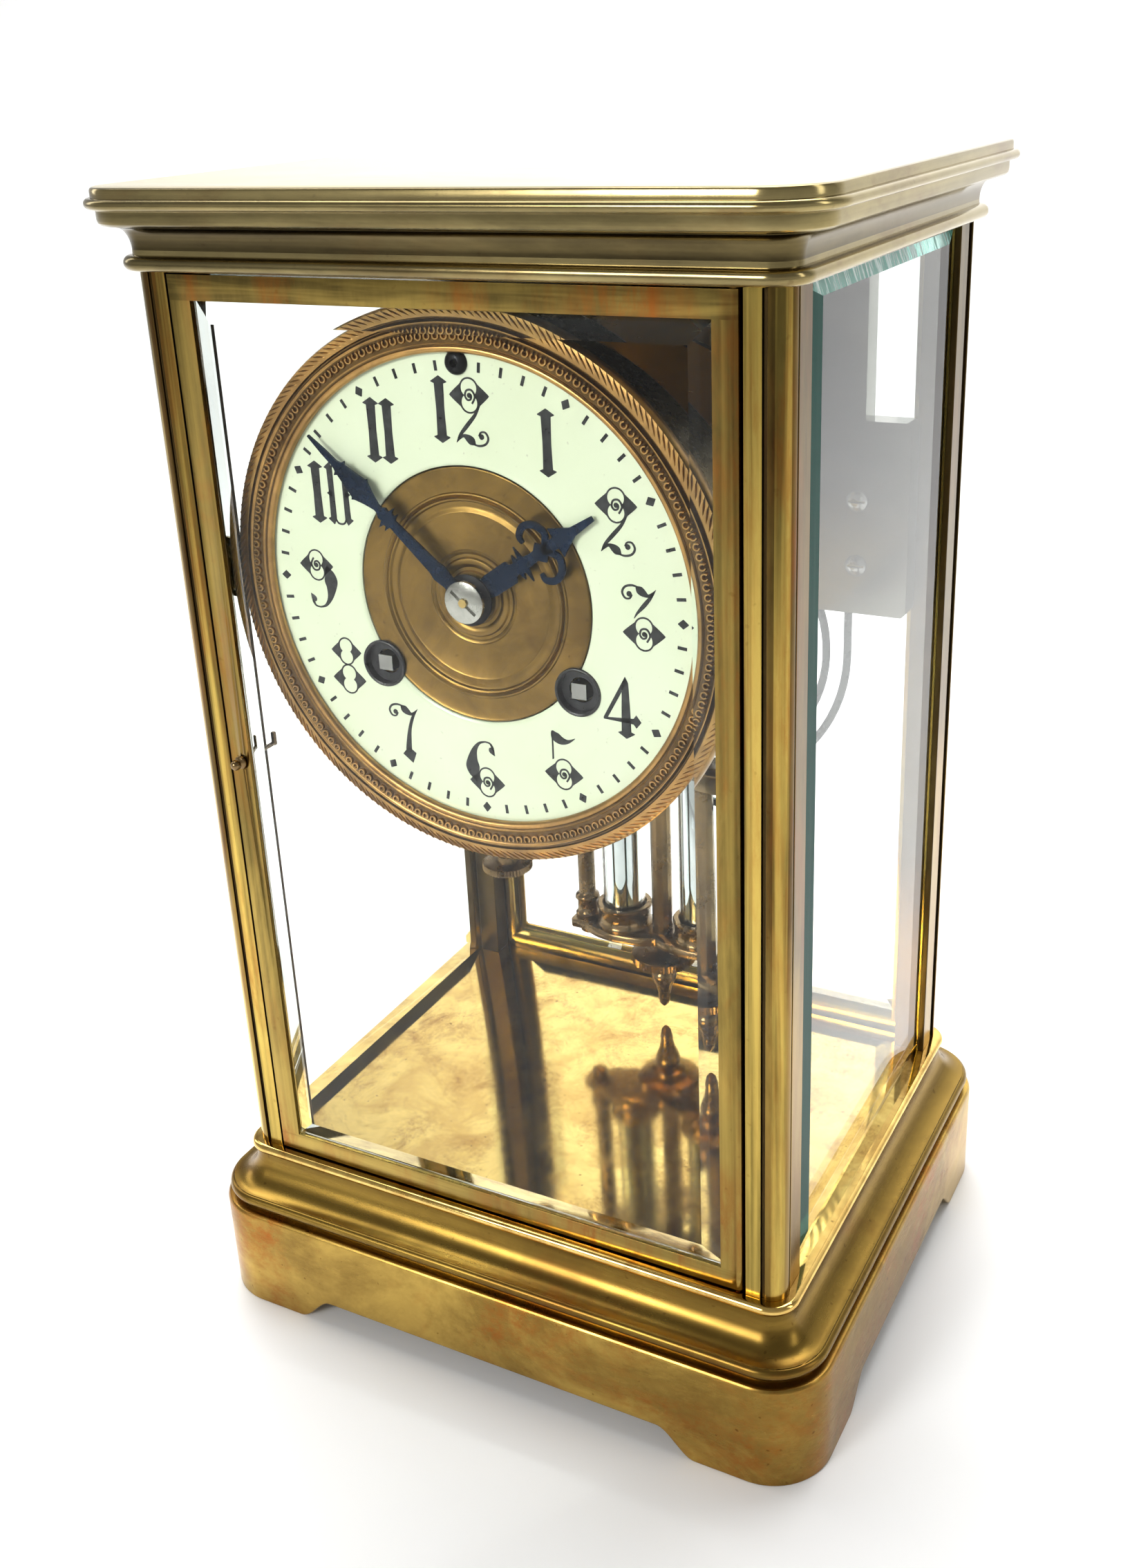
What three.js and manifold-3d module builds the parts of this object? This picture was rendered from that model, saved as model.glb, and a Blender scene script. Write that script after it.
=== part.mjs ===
// Four glass clock: a brass case with bevelled glass on four sides, an eight day
// striking movement, a coiled gong and a pendulum with two glass vials.
// Millimetres, +Z up, the dial faces -Y, origin on the table under the plinth's middle.
import * as THREE from 'three';
import Module from 'manifold-3d';

const wasm = await Module();
wasm.setup();
const { Manifold } = wasm;

// Heights, from the table up
const plinthHeight = 26;
const mouldingHeight = 12;
const floorPlateHeight = 2.4;
const pendulumFloorGap = 3.1;
const pendulumLength = 178;
const bezelTopGap = 5.9;
const corniceBeadHeight = 3.9;
const coveHeight = 4.6;
const fasciaHeight = 5.2;
const topPlateHeight = 2;

// How far each moulding stands out from the pillars' outer faces
const plinthOverhang = 10;
const ovoloOverhang = 9;
const floorPlateOverhang = 2.4;
const ceilingBeadOverhang = 2.9;
const ceilingFilletOverhang = 0.9;
const coveOverhang = 3.6;
const fasciaOverhang = 6.7;
const upperBeadOverhang = 8.7;
const topPlateOverhang = 7.3;

// Plinth and cornice
const plinthWall = 3;
const plinthFlange = 8;
const plinthGroove = 1.4;
const footLength = 26;
const footSweep = 9;
const archHeight = 6.5;
const mouldingWall = 3.4;
const corniceWall = 8;

// Pillars, from the door's edge round the corner to the side glass
const cornerRadius = 4;
const pillarFlat = 3.4;
const pillarStep = 0.8;
const pillarStepDepth = 0.7;
const pillarGroove = 1.4;
const pillarGrooveDepth = 0.9;
const pillarSideSet = 0.4;
const pillarDepth = 11.4;
const doorStopLip = 1.7;

// Doors
const doorGap = 0.5;
const doorDepth = 5.5;
const doorStopGap = 0.5;
const stileWidth = 5;
const topRailHeight = 4.9;
const bottomRailHeight = 4.6;
const frameLip = 1;
const glassRebate = 1.2;
const pivotInset = 1.5;
const pivotRadius = 0.8;
const pivotLength = 1.5;
const pivotPlay = 0.2;
const doorGlassThickness = 2.6;
const doorGlassEdge = 1.2;
const doorBevelWidth = 6;
const glassClearance = 0.3;

// Side glasses
const sideGlassThickness = 2.6;
const sideGlassEdge = 1.4;
const sideBevelWidth = 7;
const sideGlassSet = 1.4;
const sideGrooveDepth = 3;
const sideGroovePlay = 0.7;

// Door latches
const latchRise = 101.6;
const latchInset = 2.8;
const latchShaftRadius = 0.7;
const latchButtonRadius = 1.4;
const latchButtonDepth = 1.1;
const latchButtonGap = 0.1;
const latchKnobRadius = 1.1;
const latchTongueLength = 3;
const latchTongueWidth = 1.4;
const latchTongueThickness = 1;

// Dial and drum
const seatGap = 0.3;
const bezelWidth = 8.2;
const bezelDepth = 4.2;
const bezelSeat = 2.6;
const bezelSideGap = 2.7;
const dialRingLap = 1.3;
const dialRingInner = 26;
const dialCentreThickness = 1;
const dialCentreSet = 0.4;
const drumWall = 1.2;
const drumDepth = 19.7;
const drumFlangeThickness = 1.5;
const drumFlangeGap = 1.76;
const windingOffset = 22.3;
const windingDrop = 16.5;
const windingHoleRadius = 3.3;
const regulatorEdge = 1.9;
const regulatorAbovePivot = 6.8;
const regulatorHoleRadius = 1.3;
const regulatorRadius = 0.95;
const regulatorSquareLength = 6;
const armThickness = 1.8;
const armHeight = 13;
const armFlange = 14;
const armOverlap = 4.9;
const armGap = 0.4;
const thumbScrewGap = 11;
const thumbScrewSet = 4.5;
const thumbScrewRadius = 5.3;
const thumbScrewThickness = 1.7;
const thumbStemRadius = 1.4;

// Hands, shown at eight minutes to two
const minuteAngle = 311.6;
const hourAngle = 56;
const minuteHandShort = 1.7;
const hourHandLength = 33.5;
const handThickness = 0.6;
const dialHandGap = 0.8;
const handGap = 0.5;
const minuteHubRadius = 3.6;
const hourHubRadius = 4.4;
const handNutRadius = 3.4;
const handNutThickness = 1;
const arborTipRadius = 0.9;
const arborTipLength = 0.5;
const cannonPipeRadius = 1.7;
const hourPipeBore = 1.95;
const hourPipeRadius = 2.6;

// Movement
const plateThickness = 2;
const plateSpacing = 26.5;
const plateMargin = 1.06;
const platePillarRadius = 2.5;
const platePillarInset = 4.3;
const plateHoleClearance = 0.2;
const arborRadius = 0.9;
const pivotR = 0.5;
const endPlay = 0.25;
const barrelRadius = 16;
const barrelLength = 16;
const barrelGap = 0.9;
const greatWheelRadius = 18.2;
const greatWheelThickness = 1.6;
const greatWheelTeeth = 48;
const windingArborRadius = 2.4;
const windingSquare = 3.2;
const windingSquareLength = 9;
const windingPivotRadius = 1.2;
const ratchetRadius = 6.5;
const ratchetThickness = 1.5;
const ratchetTeeth = 16;
const pinionLeaves = 8;
const pinionLap = 0.4;
const secondWheelRadius = 13;
const secondWheelTeeth = 40;
const secondPinionRadius = 2.4;
const centreWheelClearance = 0.6;
const centreWheelTeeth = 40;
const centrePinionRadius = 2.2;
const centreArborRadius = 1.1;
const thirdAngle = 75;
const thirdWheelRadius = 8.6;
const thirdWheelTeeth = 40;
const thirdPinionRadius = 2;
const escapeWheelRadius = 8.5;
const escapeWheelTeeth = 30;
const escapePinionRadius = 1.6;
const anchorRise = 4.64;
const palletGap = 0.75;
const palletHalfSpan = 6.6;
const pinWheelRadius = 9.5;
const pinWheelTeeth = 40;
const pinWheelPinionRadius = 1.8;
const liftingPins = 10;
const liftingPinRadius = 0.45;
const liftingPinLength = 1.6;
const flyPinionRadius = 1.5;
const flyHalfWidth = 6;
const wheelThickness = 1;
const wheelRim = 1.6;
const toothHeight = 1;
const meshGap = 0.3;
const cannonPinionRadius = 3.6;
const cannonLeaves = 10;
const minuteWheelRadius = 10.8;
const minuteWheelTeeth = 30;
const minutePinionRadius = 2.9;
const hourWheelRadius = 11.5;
const hourWheelTeeth = 32;
const studRadius = 0.8;
const secondPlaneGap = 1.1;
const centrePlaneGap = 2.6;
const thirdPlaneGap = 3.6;
const escapePlaneGap = 2.7;
const cannonPlaneGap = 5.5;
const hourPlaneGap = 2;

// What stands behind the movement: cock, crutch, pendulum, hammer, gong
const crutchGap = 8;
const cockGap = 5;
const cockThickness = 2.6;
const cockLegOffset = 11;
const cockLegHalf = 2.5;
const cockDrop = 8;
const crutchLength = 34.5;
const crutchThickness = 1.6;
const crutchHalf = 1.1;
const crutchPlay = 0.35;
const forkWall = 1.2;
const suspensionRise = 9.5;
const suspensionBlockHalf = 3.8;
const suspensionBlockHeight = 5;
const pendulumSet = 13.4;
const pendulumBack = 3.9;
const pendulumRodRadius = 2.7;
const pendulumScrewRadius = 1.5;
const hookDrop = 9;
const hookRise = 6.8;
const hookHalf = 3.4;
const hookGap = 3;
const hookWall = 1;
const hookNeck = 6;
const bobRise = 20.5;
const bobColumnRadius = 2.25;
const bobColumnGap = 3.15;
const cradleThickness = 2.5;
const cradleRim = 6.5;
const cradleWall = 1.4;
const topBarHeight = 4.5;
const vialHeight = 51.2;
const vialRodGap = 2.7;
const vialRadius = 5.6;
const vialWall = 0.9;
const vialClearance = 0.3;
const mercuryGap = 0.15;
const mercuryBelowRim = 3.4;
const ratingNutGap = 3.2;
const ratingNutRadius = 8.5;
const ratingNutHeight = 3;
const hammerOffset = 37;
const hammerRise = 3;
const hammerHeadRadius = 2.6;
const hammerHeadLength = 7;
const hammerStrikeGap = 0.9;
const gongDrop = 39;
const gongOuterRadius = 38.6;
const gongPitch = 5.2;
const gongTurns = 5;
const gongWireRadius = 1.15;
const gongClear = 1.15;
const gongLead = 7;
const gongPlateThickness = 6.4;
const gongPlateEarInset = 1;
const gongPlateShoulder = 10.3;
const gongPlateDrop = 24.5;
const gongPlateEarRise = 20;
const gongBlockInset = 11.8;
const gongBlockEdge = 4.4;
const gongBlockRise = 16;
const gongBlockWidth = 13;
const gongBlockHeight = 32;
const gongBlockDepth = 5;
const gongScrewRise = 17.4;
const gongScrewRadius = 2.5;
const gongScrewSpacing = 15;

// Train, seen from the front about the dial's centre. Each arbor lies where its
// pinion meets the wheel before it, and the dial, the case and the pendulum follow from it.
const at = (x, z) => new THREE.Vector2(x, z);
const along = (from, degrees, distance) => at(
  from.x + distance * Math.cos(THREE.MathUtils.degToRad(degrees)),
  from.y + distance * Math.sin(THREE.MathUtils.degToRad(degrees)),
);

// The point at distance a from p and b from q, on the side given by sign
function meeting(p, a, q, b, sign) {
  const gap = p.distanceTo(q);
  const ahead = (a * a - b * b + gap * gap) / (2 * gap);
  const aside = Math.sqrt(a * a - ahead * ahead) * sign;
  const ux = (q.x - p.x) / gap;
  const uz = (q.y - p.y) / gap;
  return at(p.x + ux * ahead - uz * aside, p.y + uz * ahead + ux * aside);
}

const secondToCentre = secondWheelRadius + centrePinionRadius + meshGap;
const secondToBarrel = greatWheelRadius + secondPinionRadius + meshGap;
const centreWheelRadius = secondToCentre - arborRadius - centreWheelClearance;
const thirdPlace = along(at(0, 0), thirdAngle, centreWheelRadius + thirdPinionRadius + meshGap);
const escapeReach = thirdWheelRadius + escapePinionRadius + meshGap;
const escapeRise = thirdPlace.y + Math.sqrt(escapeReach ** 2 - thirdPlace.x ** 2);
const palletRise = escapeRise + escapeWheelRadius + anchorRise;
const windingReach = Math.hypot(windingOffset, windingDrop);
const plateRadius = windingReach + greatWheelRadius + plateMargin;

// Heights that follow
const mouldingBase = plinthHeight;
const floorPlateBase = mouldingBase + mouldingHeight;
const floorLevel = floorPlateBase + floorPlateHeight;
const pendulumTip = floorLevel + pendulumFloorGap;
const swingHeight = pendulumTip + pendulumLength;
const dialHeight = swingHeight - palletRise;
const latchHeight = floorLevel + latchRise;

// Dial, from the regulator's hole near its rim outwards
const regulatorRise = palletRise + regulatorAbovePivot;
const bezelOpening = regulatorRise + regulatorEdge;
const bezelRadius = bezelOpening + bezelWidth;
const dialRingRadius = bezelOpening + dialRingLap;
const drumRadius = dialRingRadius + seatGap + drumWall;
const drumFlangeInner = windingReach + ratchetRadius + drumFlangeGap;
const minuteHandLength = bezelOpening - minuteHandShort;
const dialThickness = bezelDepth - bezelSeat;

const ceilingLevel = dialHeight + bezelRadius + bezelTopGap;
const coveBase = ceilingLevel + corniceBeadHeight;
const fasciaBase = coveBase + coveHeight;
const topPlateBase = fasciaBase + fasciaHeight;
const clockTop = topPlateBase + topPlateHeight;

// Width and depth of the case between its pillars' outer faces
const pillarWidth = pillarFlat + pillarStep + cornerRadius;
const caseHalfWidth = bezelRadius + bezelSideGap + doorStopLip + pillarWidth;
const dialDepth = bezelDepth + seatGap + drumDepth + seatGap;
const movementDepth = plateSpacing + plateThickness * 2;
const cockDepth = crutchGap + cockGap + cockThickness;
const gongDepth = pendulumBack + gongPlateThickness + seatGap;
const caseHalfDepth = (doorDepth + doorStopGap + dialDepth + movementDepth + cockDepth
  + pendulumSet + gongDepth + pillarDepth) / 2;

// Planes from the front door back
const doorFront = -caseHalfDepth;
const doorBack = doorFront + doorDepth;
const doorStop = doorBack + doorStopGap;
const pillarBack = doorFront + pillarDepth;
const bezelFront = doorStop;
const dialFront = bezelFront + bezelSeat;
const drumFront = bezelFront + bezelDepth + seatGap;
const drumBack = drumFront + drumDepth;
const frontPlateY = drumBack + seatGap;
const frontPlateBack = frontPlateY + plateThickness;
const backPlateY = frontPlateBack + plateSpacing;
const backPlateBack = backPlateY + plateThickness;
const crutchPlane = backPlateBack + crutchGap;
const cockFront = crutchPlane + cockGap;
const cockBack = cockFront + cockThickness;
const pendulumY = cockBack + pendulumSet;
const gongPlateFront = pendulumY + pendulumBack;
const gongPlateBack = gongPlateFront + gongPlateThickness;
const gongY = gongPlateBack + gongClear + gongWireRadius;

// Planes of the wheels
const barrelFront = frontPlateBack + barrelGap;
const barrelBack = barrelFront + barrelLength;
const secondPlane = barrelBack + secondPlaneGap;
const secondPlaneBack = secondPlane + wheelThickness;
const centrePlane = secondPlane + centrePlaneGap;
const thirdPlane = secondPlane - thirdPlaneGap;
const thirdPlaneBack = thirdPlane + wheelThickness;
const escapePlane = backPlateY - escapePlaneGap;
const cannonPlane = frontPlateY - cannonPlaneGap;
const hourPlane = cannonPlane - hourPlaneGap;
const hourHandFront = dialFront - dialHandGap - handThickness;
const minuteHandFront = hourHandFront - handGap - handThickness;
const handNutFront = minuteHandFront - seatGap / 2 - handNutThickness;
const handTip = handNutFront - arborTipLength + seatGap / 2;

// Places across the case
const pillarInner = caseHalfWidth - pillarWidth;
const doorHalfWidth = pillarInner - doorGap;
const doorBottom = floorLevel + doorGap;
const doorTop = ceilingLevel - doorGap;
const sightHalf = doorHalfWidth - stileWidth;
const sightBottom = doorBottom + bottomRailHeight;
const sightTop = doorTop - topRailHeight;
const pivotAxis = at(doorHalfWidth - pivotInset, doorFront + pivotInset);
const latchAxis = at(-doorHalfWidth + latchInset, latchHeight);
const sideGlassOuter = caseHalfWidth - sideGlassSet;
const sideGlassInner = sideGlassOuter - sideGlassThickness;
const sideGlassEdgeOuter = sideGlassInner + sideGlassEdge;
const sideGlassEnd = pillarBack - sideGrooveDepth + glassClearance;

// Arbors
const centreArbor = at(0, dialHeight);
const goingBarrelArbor = at(windingOffset, dialHeight - windingDrop);
const strikeBarrelArbor = at(-windingOffset, dialHeight - windingDrop);
const goingSecondArbor = meeting(centreArbor, secondToCentre, goingBarrelArbor, secondToBarrel, 1);
const strikeSecondArbor = meeting(centreArbor, secondToCentre, strikeBarrelArbor, secondToBarrel, -1);
const thirdArbor = at(thirdPlace.x, dialHeight + thirdPlace.y);
const escapeArbor = at(0, dialHeight + escapeRise);
const palletArbor = at(0, swingHeight);
const pinWheelArbor = along(strikeSecondArbor, 100, secondWheelRadius + pinWheelPinionRadius + meshGap);
const flyArbor = along(pinWheelArbor, 60, pinWheelRadius + flyPinionRadius + meshGap);
const hammerArbor = at(-hammerOffset, dialHeight + hammerRise);
const minuteWheelArbor = along(centreArbor, 100, minuteWheelRadius + cannonPinionRadius + meshGap);
const goingArbors = [goingSecondArbor, thirdArbor, escapeArbor];
const strikeArbors = [strikeSecondArbor, pinWheelArbor, flyArbor, hammerArbor];

// Gong and its plate
const gongPlateEar = pillarInner - gongPlateEarInset;
const gongPlateHalfWidth = gongPlateEar - gongPlateShoulder;
const gongBlockX = gongPlateEar - gongBlockInset;
const gongEnd = gongBlockX - gongBlockEdge;
const gongCentreX = gongEnd - gongOuterRadius;
const gongCentreZ = dialHeight - gongDrop;
const gongBlockBase = gongCentreZ + gongBlockRise;
const gongScrewMiddle = gongBlockBase + gongScrewRise;
const gongScrewHeights = [gongScrewMiddle - gongScrewSpacing / 2, gongScrewMiddle + gongScrewSpacing / 2];

// Pendulum bob
const cradleBase = pendulumTip + bobRise;
const cradleTop = cradleBase + cradleThickness;
const topBarBase = cradleTop + vialHeight + seatGap;
const topBarTop = topBarBase + topBarHeight;
const socketRadius = vialRadius + vialClearance + cradleWall;
const cradleHalfDepth = socketRadius - 0.1;
const vialSpacing = pendulumRodRadius + vialRodGap + vialRadius;
const bobHalfWidth = vialSpacing + vialRadius + bobColumnGap + bobColumnRadius;
const ratingNutTop = cradleBase - ratingNutGap;
const suspensionTop = swingHeight + suspensionRise;

// Materials
const metal = (color, roughness) => new THREE.MeshStandardMaterial({ color, roughness, metalness: 1 });
const agedBrass = metal(0x8a7440, 0.42);
const brightBrass = metal(0xc79a3f, 0.3);
const giltBrass = metal(0xb9772f, 0.38);
const movementBrass = metal(0xc2a25a, 0.35);
const steel = metal(0x8b8d92, 0.35);
const nickel = metal(0x9a9ca3, 0.3);
const bluedSteel = metal(0x141c33, 0.3);
const quicksilver = metal(0xc9ccd1, 0.08);
const porcelain = new THREE.MeshStandardMaterial({ color: 0xe9ece0, roughness: 0.22, metalness: 0 });
const glass = new THREE.MeshStandardMaterial({
  color: 0xdcefe9, roughness: 0.04, metalness: 0, transparent: true, opacity: 0.3,
});

const clock = new THREE.Group();

function toManifold(geometry) {
  const bare = new THREE.BufferGeometry();
  const source = geometry.index ? geometry.toNonIndexed() : geometry;
  const position = source.getAttribute('position');
  const triangles = new Uint32Array(position.count).map((_, i) => i);
  bare.setAttribute('position', position);
  const mesh = new wasm.Mesh({
    numProp: 3,
    vertProperties: new Float32Array(position.array),
    triVerts: triangles,
  });
  mesh.merge();
  let solid = new Manifold(mesh);
  if (solid.volume() < 0) {
    for (let i = 0; i < triangles.length; i += 3) {
      [triangles[i + 1], triangles[i + 2]] = [triangles[i + 2], triangles[i + 1]];
    }
    const turned = new wasm.Mesh({
      numProp: 3,
      vertProperties: new Float32Array(position.array),
      triVerts: triangles,
    });
    turned.merge();
    solid = new Manifold(turned);
  }
  return solid;
}

function toGeometry(solid) {
  const mesh = solid.getMesh();
  const geometry = new THREE.BufferGeometry();
  geometry.setAttribute('position', new THREE.BufferAttribute(new Float32Array(mesh.vertProperties), 3));
  geometry.setIndex(new THREE.BufferAttribute(new Uint32Array(mesh.triVerts), 1));
  geometry.computeVertexNormals();
  return geometry;
}

function add(name, solid, material) {
  const mesh = new THREE.Mesh(toGeometry(solid), material);
  mesh.name = name;
  clock.add(mesh);
  return mesh;
}

// Basic solids, each returned as a Manifold in the clock's frame

function box(x0, x1, y0, y1, z0, z1) {
  return Manifold.cube([x1 - x0, y1 - y0, z1 - z0]).translate([x0, y0, z0]);
}

// A shape drawn in X and Z, pushed along Y from y0 to y1
function plateXZ(shape, y0, y1, curveSegments = 12) {
  const geometry = new THREE.ExtrudeGeometry(shape, { depth: y1 - y0, bevelEnabled: false, curveSegments });
  geometry.rotateX(Math.PI / 2);
  geometry.translate(0, y1, 0);
  return toManifold(geometry);
}

// A shape drawn in X and Y, pushed up from z0 to z1
function plateXY(shape, z0, z1, curveSegments = 12) {
  const geometry = new THREE.ExtrudeGeometry(shape, { depth: z1 - z0, bevelEnabled: false, curveSegments });
  geometry.translate(0, 0, z0);
  return toManifold(geometry);
}

// A profile of [radius, y] points revolved about the line along Y through x, z
function turnedY(profile, x, z, segments) {
  const geometry = new THREE.LatheGeometry(profile.map(([r, y]) => new THREE.Vector2(r, y)), segments);
  geometry.translate(x, 0, z);
  return toManifold(geometry);
}

// A profile of [radius, z] points revolved about the upright line through x, y
function turnedZ(profile, x, y, segments) {
  const geometry = new THREE.LatheGeometry(profile.map(([r, z]) => new THREE.Vector2(r, z)), segments);
  geometry.rotateX(Math.PI / 2);
  geometry.translate(x, y, 0);
  return toManifold(geometry);
}

function rodY(radius, x, z, y0, y1, segments = 12) {
  return turnedY([[0, y0], [radius, y0], [radius, y1], [0, y1]], x, z, segments);
}

function rodZ(radius, x, y, z0, z1, segments = 12) {
  return turnedZ([[0, z0], [radius, z0], [radius, z1], [0, z1]], x, y, segments);
}

function joined(...solids) {
  return solids.reduce((whole, next) => whole.add(next));
}

function cut(solid, ...tools) {
  return tools.reduce((rest, tool) => rest.subtract(tool), solid);
}

const mirrorX = (solid) => solid.mirror([1, 0, 0]);
const mirrorY = (solid) => solid.mirror([0, 1, 0]);

// Points of a rounded rectangle that runs round the case at one overhang
const cornerSteps = 5;
function outlineAt(overhang) {
  const radius = Math.max(cornerRadius + overhang, 0.5);
  const cx = caseHalfWidth + overhang - radius;
  const cy = caseHalfDepth + overhang - radius;
  const points = [];
  [[1, -1, -90], [1, 1, 0], [-1, 1, 90], [-1, -1, 180]].forEach(([sx, sy, start]) => {
    for (let i = 0; i <= cornerSteps; i += 1) {
      const angle = THREE.MathUtils.degToRad(start + (90 * i) / cornerSteps);
      points.push([sx * cx + radius * Math.cos(angle), sy * cy + radius * Math.sin(angle)]);
    }
  });
  return points;
}

// A solid moulding: the case's outline stacked through [overhang, z] points, closed top and bottom
function moulding(profile) {
  const rings = profile.map(([overhang, z]) => outlineAt(overhang).map(([x, y]) => [x, y, z]));
  const count = rings[0].length;
  const vertices = rings.flat(2);
  const triangles = [];
  for (let r = 0; r < rings.length - 1; r += 1) {
    for (let i = 0; i < count; i += 1) {
      const a = r * count + i;
      const b = r * count + ((i + 1) % count);
      triangles.push(a, b, b + count, a, b + count, a + count);
    }
  }
  const top = (rings.length - 1) * count;
  for (let i = 1; i < count - 1; i += 1) {
    triangles.push(0, i + 1, i);
    triangles.push(top, top + i, top + i + 1);
  }
  const geometry = new THREE.BufferGeometry();
  geometry.setAttribute('position', new THREE.Float32BufferAttribute(vertices, 3));
  geometry.setIndex(triangles);
  return toManifold(geometry);
}

// Points of a quarter circle or part of one, as [overhang, z] pairs
function arcPoints(centreO, centreZ, radius, from, to, steps) {
  const points = [];
  for (let i = 0; i <= steps; i += 1) {
    const angle = THREE.MathUtils.degToRad(from + ((to - from) * i) / steps);
    points.push([centreO + radius * Math.cos(angle), centreZ + radius * Math.sin(angle)]);
  }
  return points;
}

// Base

function archShape(halfLength) {
  const foot = halfLength - footLength;
  const crown = foot - footSweep;
  const steps = 6;
  const shape = new THREE.Shape();
  shape.moveTo(-foot, -1);
  const rise = [];
  for (let i = 0; i <= steps; i += 1) {
    const t = i / steps;
    rise.push([foot - footSweep * t, archHeight * t * t * (3 - 2 * t)]);
  }
  rise.forEach(([x, z]) => shape.lineTo(-x, z));
  shape.lineTo(crown, archHeight);
  [...rise].reverse().slice(1).forEach(([x, z]) => shape.lineTo(x, z));
  shape.lineTo(foot, -1);
  shape.closePath();
  return shape;
}

function makePlinth() {
  const body = moulding([
    [plinthOverhang, 0],
    [plinthOverhang, plinthHeight - 0.9],
    [plinthOverhang - 0.3, plinthHeight - 0.25],
    [plinthOverhang - 0.9, plinthHeight],
  ]);
  const hollow = moulding([
    [plinthOverhang - plinthWall, -1],
    [plinthOverhang - plinthWall, plinthHeight - plinthWall],
  ]);
  const flangeOpening = moulding([
    [plinthOverhang - plinthWall - plinthFlange, plinthHeight - plinthWall - 1],
    [plinthOverhang - plinthWall - plinthFlange, plinthHeight + 1],
  ]);
  const halfX = caseHalfWidth + plinthOverhang;
  const halfY = caseHalfDepth + plinthOverhang;
  const frontArch = plateXZ(archShape(halfX), -halfY - 1, halfY + 1);
  const sideArch = plateXZ(archShape(halfY), -halfX - 1, halfX + 1).rotate([0, 0, 90]);
  return cut(body, hollow, flangeOpening, frontArch, sideArch);
}

function makeBaseMoulding() {
  const ovoloTop = mouldingBase + 4.2;
  const coveTop = floorPlateBase - 0.6;
  const coveEnd = 1.4;
  const coveRun = ovoloOverhang - 1 - coveEnd;
  const coveRise = coveTop - ovoloTop;
  const cove = [];
  const coveSteps = 4;
  for (let i = 0; i <= coveSteps; i += 1) {
    const angle = (Math.PI / 2) * (i / coveSteps);
    cove.push([coveEnd + coveRun * (1 - Math.sin(angle)), coveTop - coveRise * Math.cos(angle)]);
  }
  const outer = moulding([
    [ovoloOverhang - plinthGroove, mouldingBase],
    [ovoloOverhang - plinthGroove, mouldingBase + 1.3],
    [ovoloOverhang - 0.3, mouldingBase + 1.7],
    [ovoloOverhang, mouldingBase + 2.6],
    [ovoloOverhang - 0.3, mouldingBase + 3.5],
    ...cove,
    [coveEnd, floorPlateBase],
  ]);
  const hollow = moulding([
    [-plinthFlange, mouldingBase - 1],
    [-plinthFlange, floorPlateBase - mouldingWall],
  ]);
  return cut(outer, hollow);
}

function pivotHoles(z0, z1) {
  const x = pivotAxis.x;
  return [-1, 1].map((side) => rodZ(pivotRadius + pivotPlay, x, side * Math.abs(pivotAxis.y), z0, z1));
}

function makeFloorPlate() {
  const middle = floorPlateBase + floorPlateHeight / 2;
  const edge = arcPoints(floorPlateOverhang - floorPlateHeight / 2, middle, floorPlateHeight / 2, -90, 90, 4);
  return cut(moulding(edge), ...pivotHoles(floorLevel - pivotLength - seatGap, floorLevel + 1));
}

// Cornice

function makeCorniceBead() {
  const bead = 1.45;
  const beadEdge = arcPoints(ceilingBeadOverhang - bead, ceilingLevel + bead, bead, -90, 90, 4);
  const plate = moulding([
    ...beadEdge,
    [ceilingFilletOverhang, ceilingLevel + bead * 2],
    [ceilingFilletOverhang, coveBase],
  ]);
  return cut(plate, ...pivotHoles(ceilingLevel - 1, ceilingLevel + pivotLength + seatGap));
}

function corniceHollow(z0, z1) {
  return moulding([[-corniceWall, z0], [-corniceWall, z1]]);
}

function makeCorniceCove() {
  const start = ceilingFilletOverhang;
  const run = coveOverhang - start;
  const steps = 4;
  const curve = [];
  for (let i = 0; i <= steps; i += 1) {
    const angle = (Math.PI / 2) * (i / steps);
    curve.push([start + run * (1 - Math.cos(angle)), coveBase + (coveHeight - 0.3) * Math.sin(angle)]);
  }
  const ring = moulding([...curve, [coveOverhang, fasciaBase]]);
  return cut(ring, corniceHollow(coveBase - 1, fasciaBase + 1));
}

function makeCorniceFascia() {
  const beadRadius = 1;
  const beadMiddle = topPlateBase - beadRadius;
  const bead = arcPoints(upperBeadOverhang - beadRadius, beadMiddle, beadRadius, -90, 90, 4);
  const ring = moulding([
    [fasciaOverhang - 1.3, fasciaBase],
    [fasciaOverhang - 0.4, fasciaBase + 0.4],
    [fasciaOverhang, fasciaBase + 1.3],
    [fasciaOverhang, beadMiddle - beadRadius],
    ...bead,
    [topPlateOverhang - 0.6, topPlateBase],
  ]);
  return cut(ring, corniceHollow(fasciaBase - 1, topPlateBase + 1));
}

function makeTopPlate() {
  return moulding([
    [topPlateOverhang, topPlateBase],
    [topPlateOverhang, clockTop - 0.5],
    [topPlateOverhang - 0.5, clockTop],
  ]);
}

// Pillars and side glasses

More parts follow.
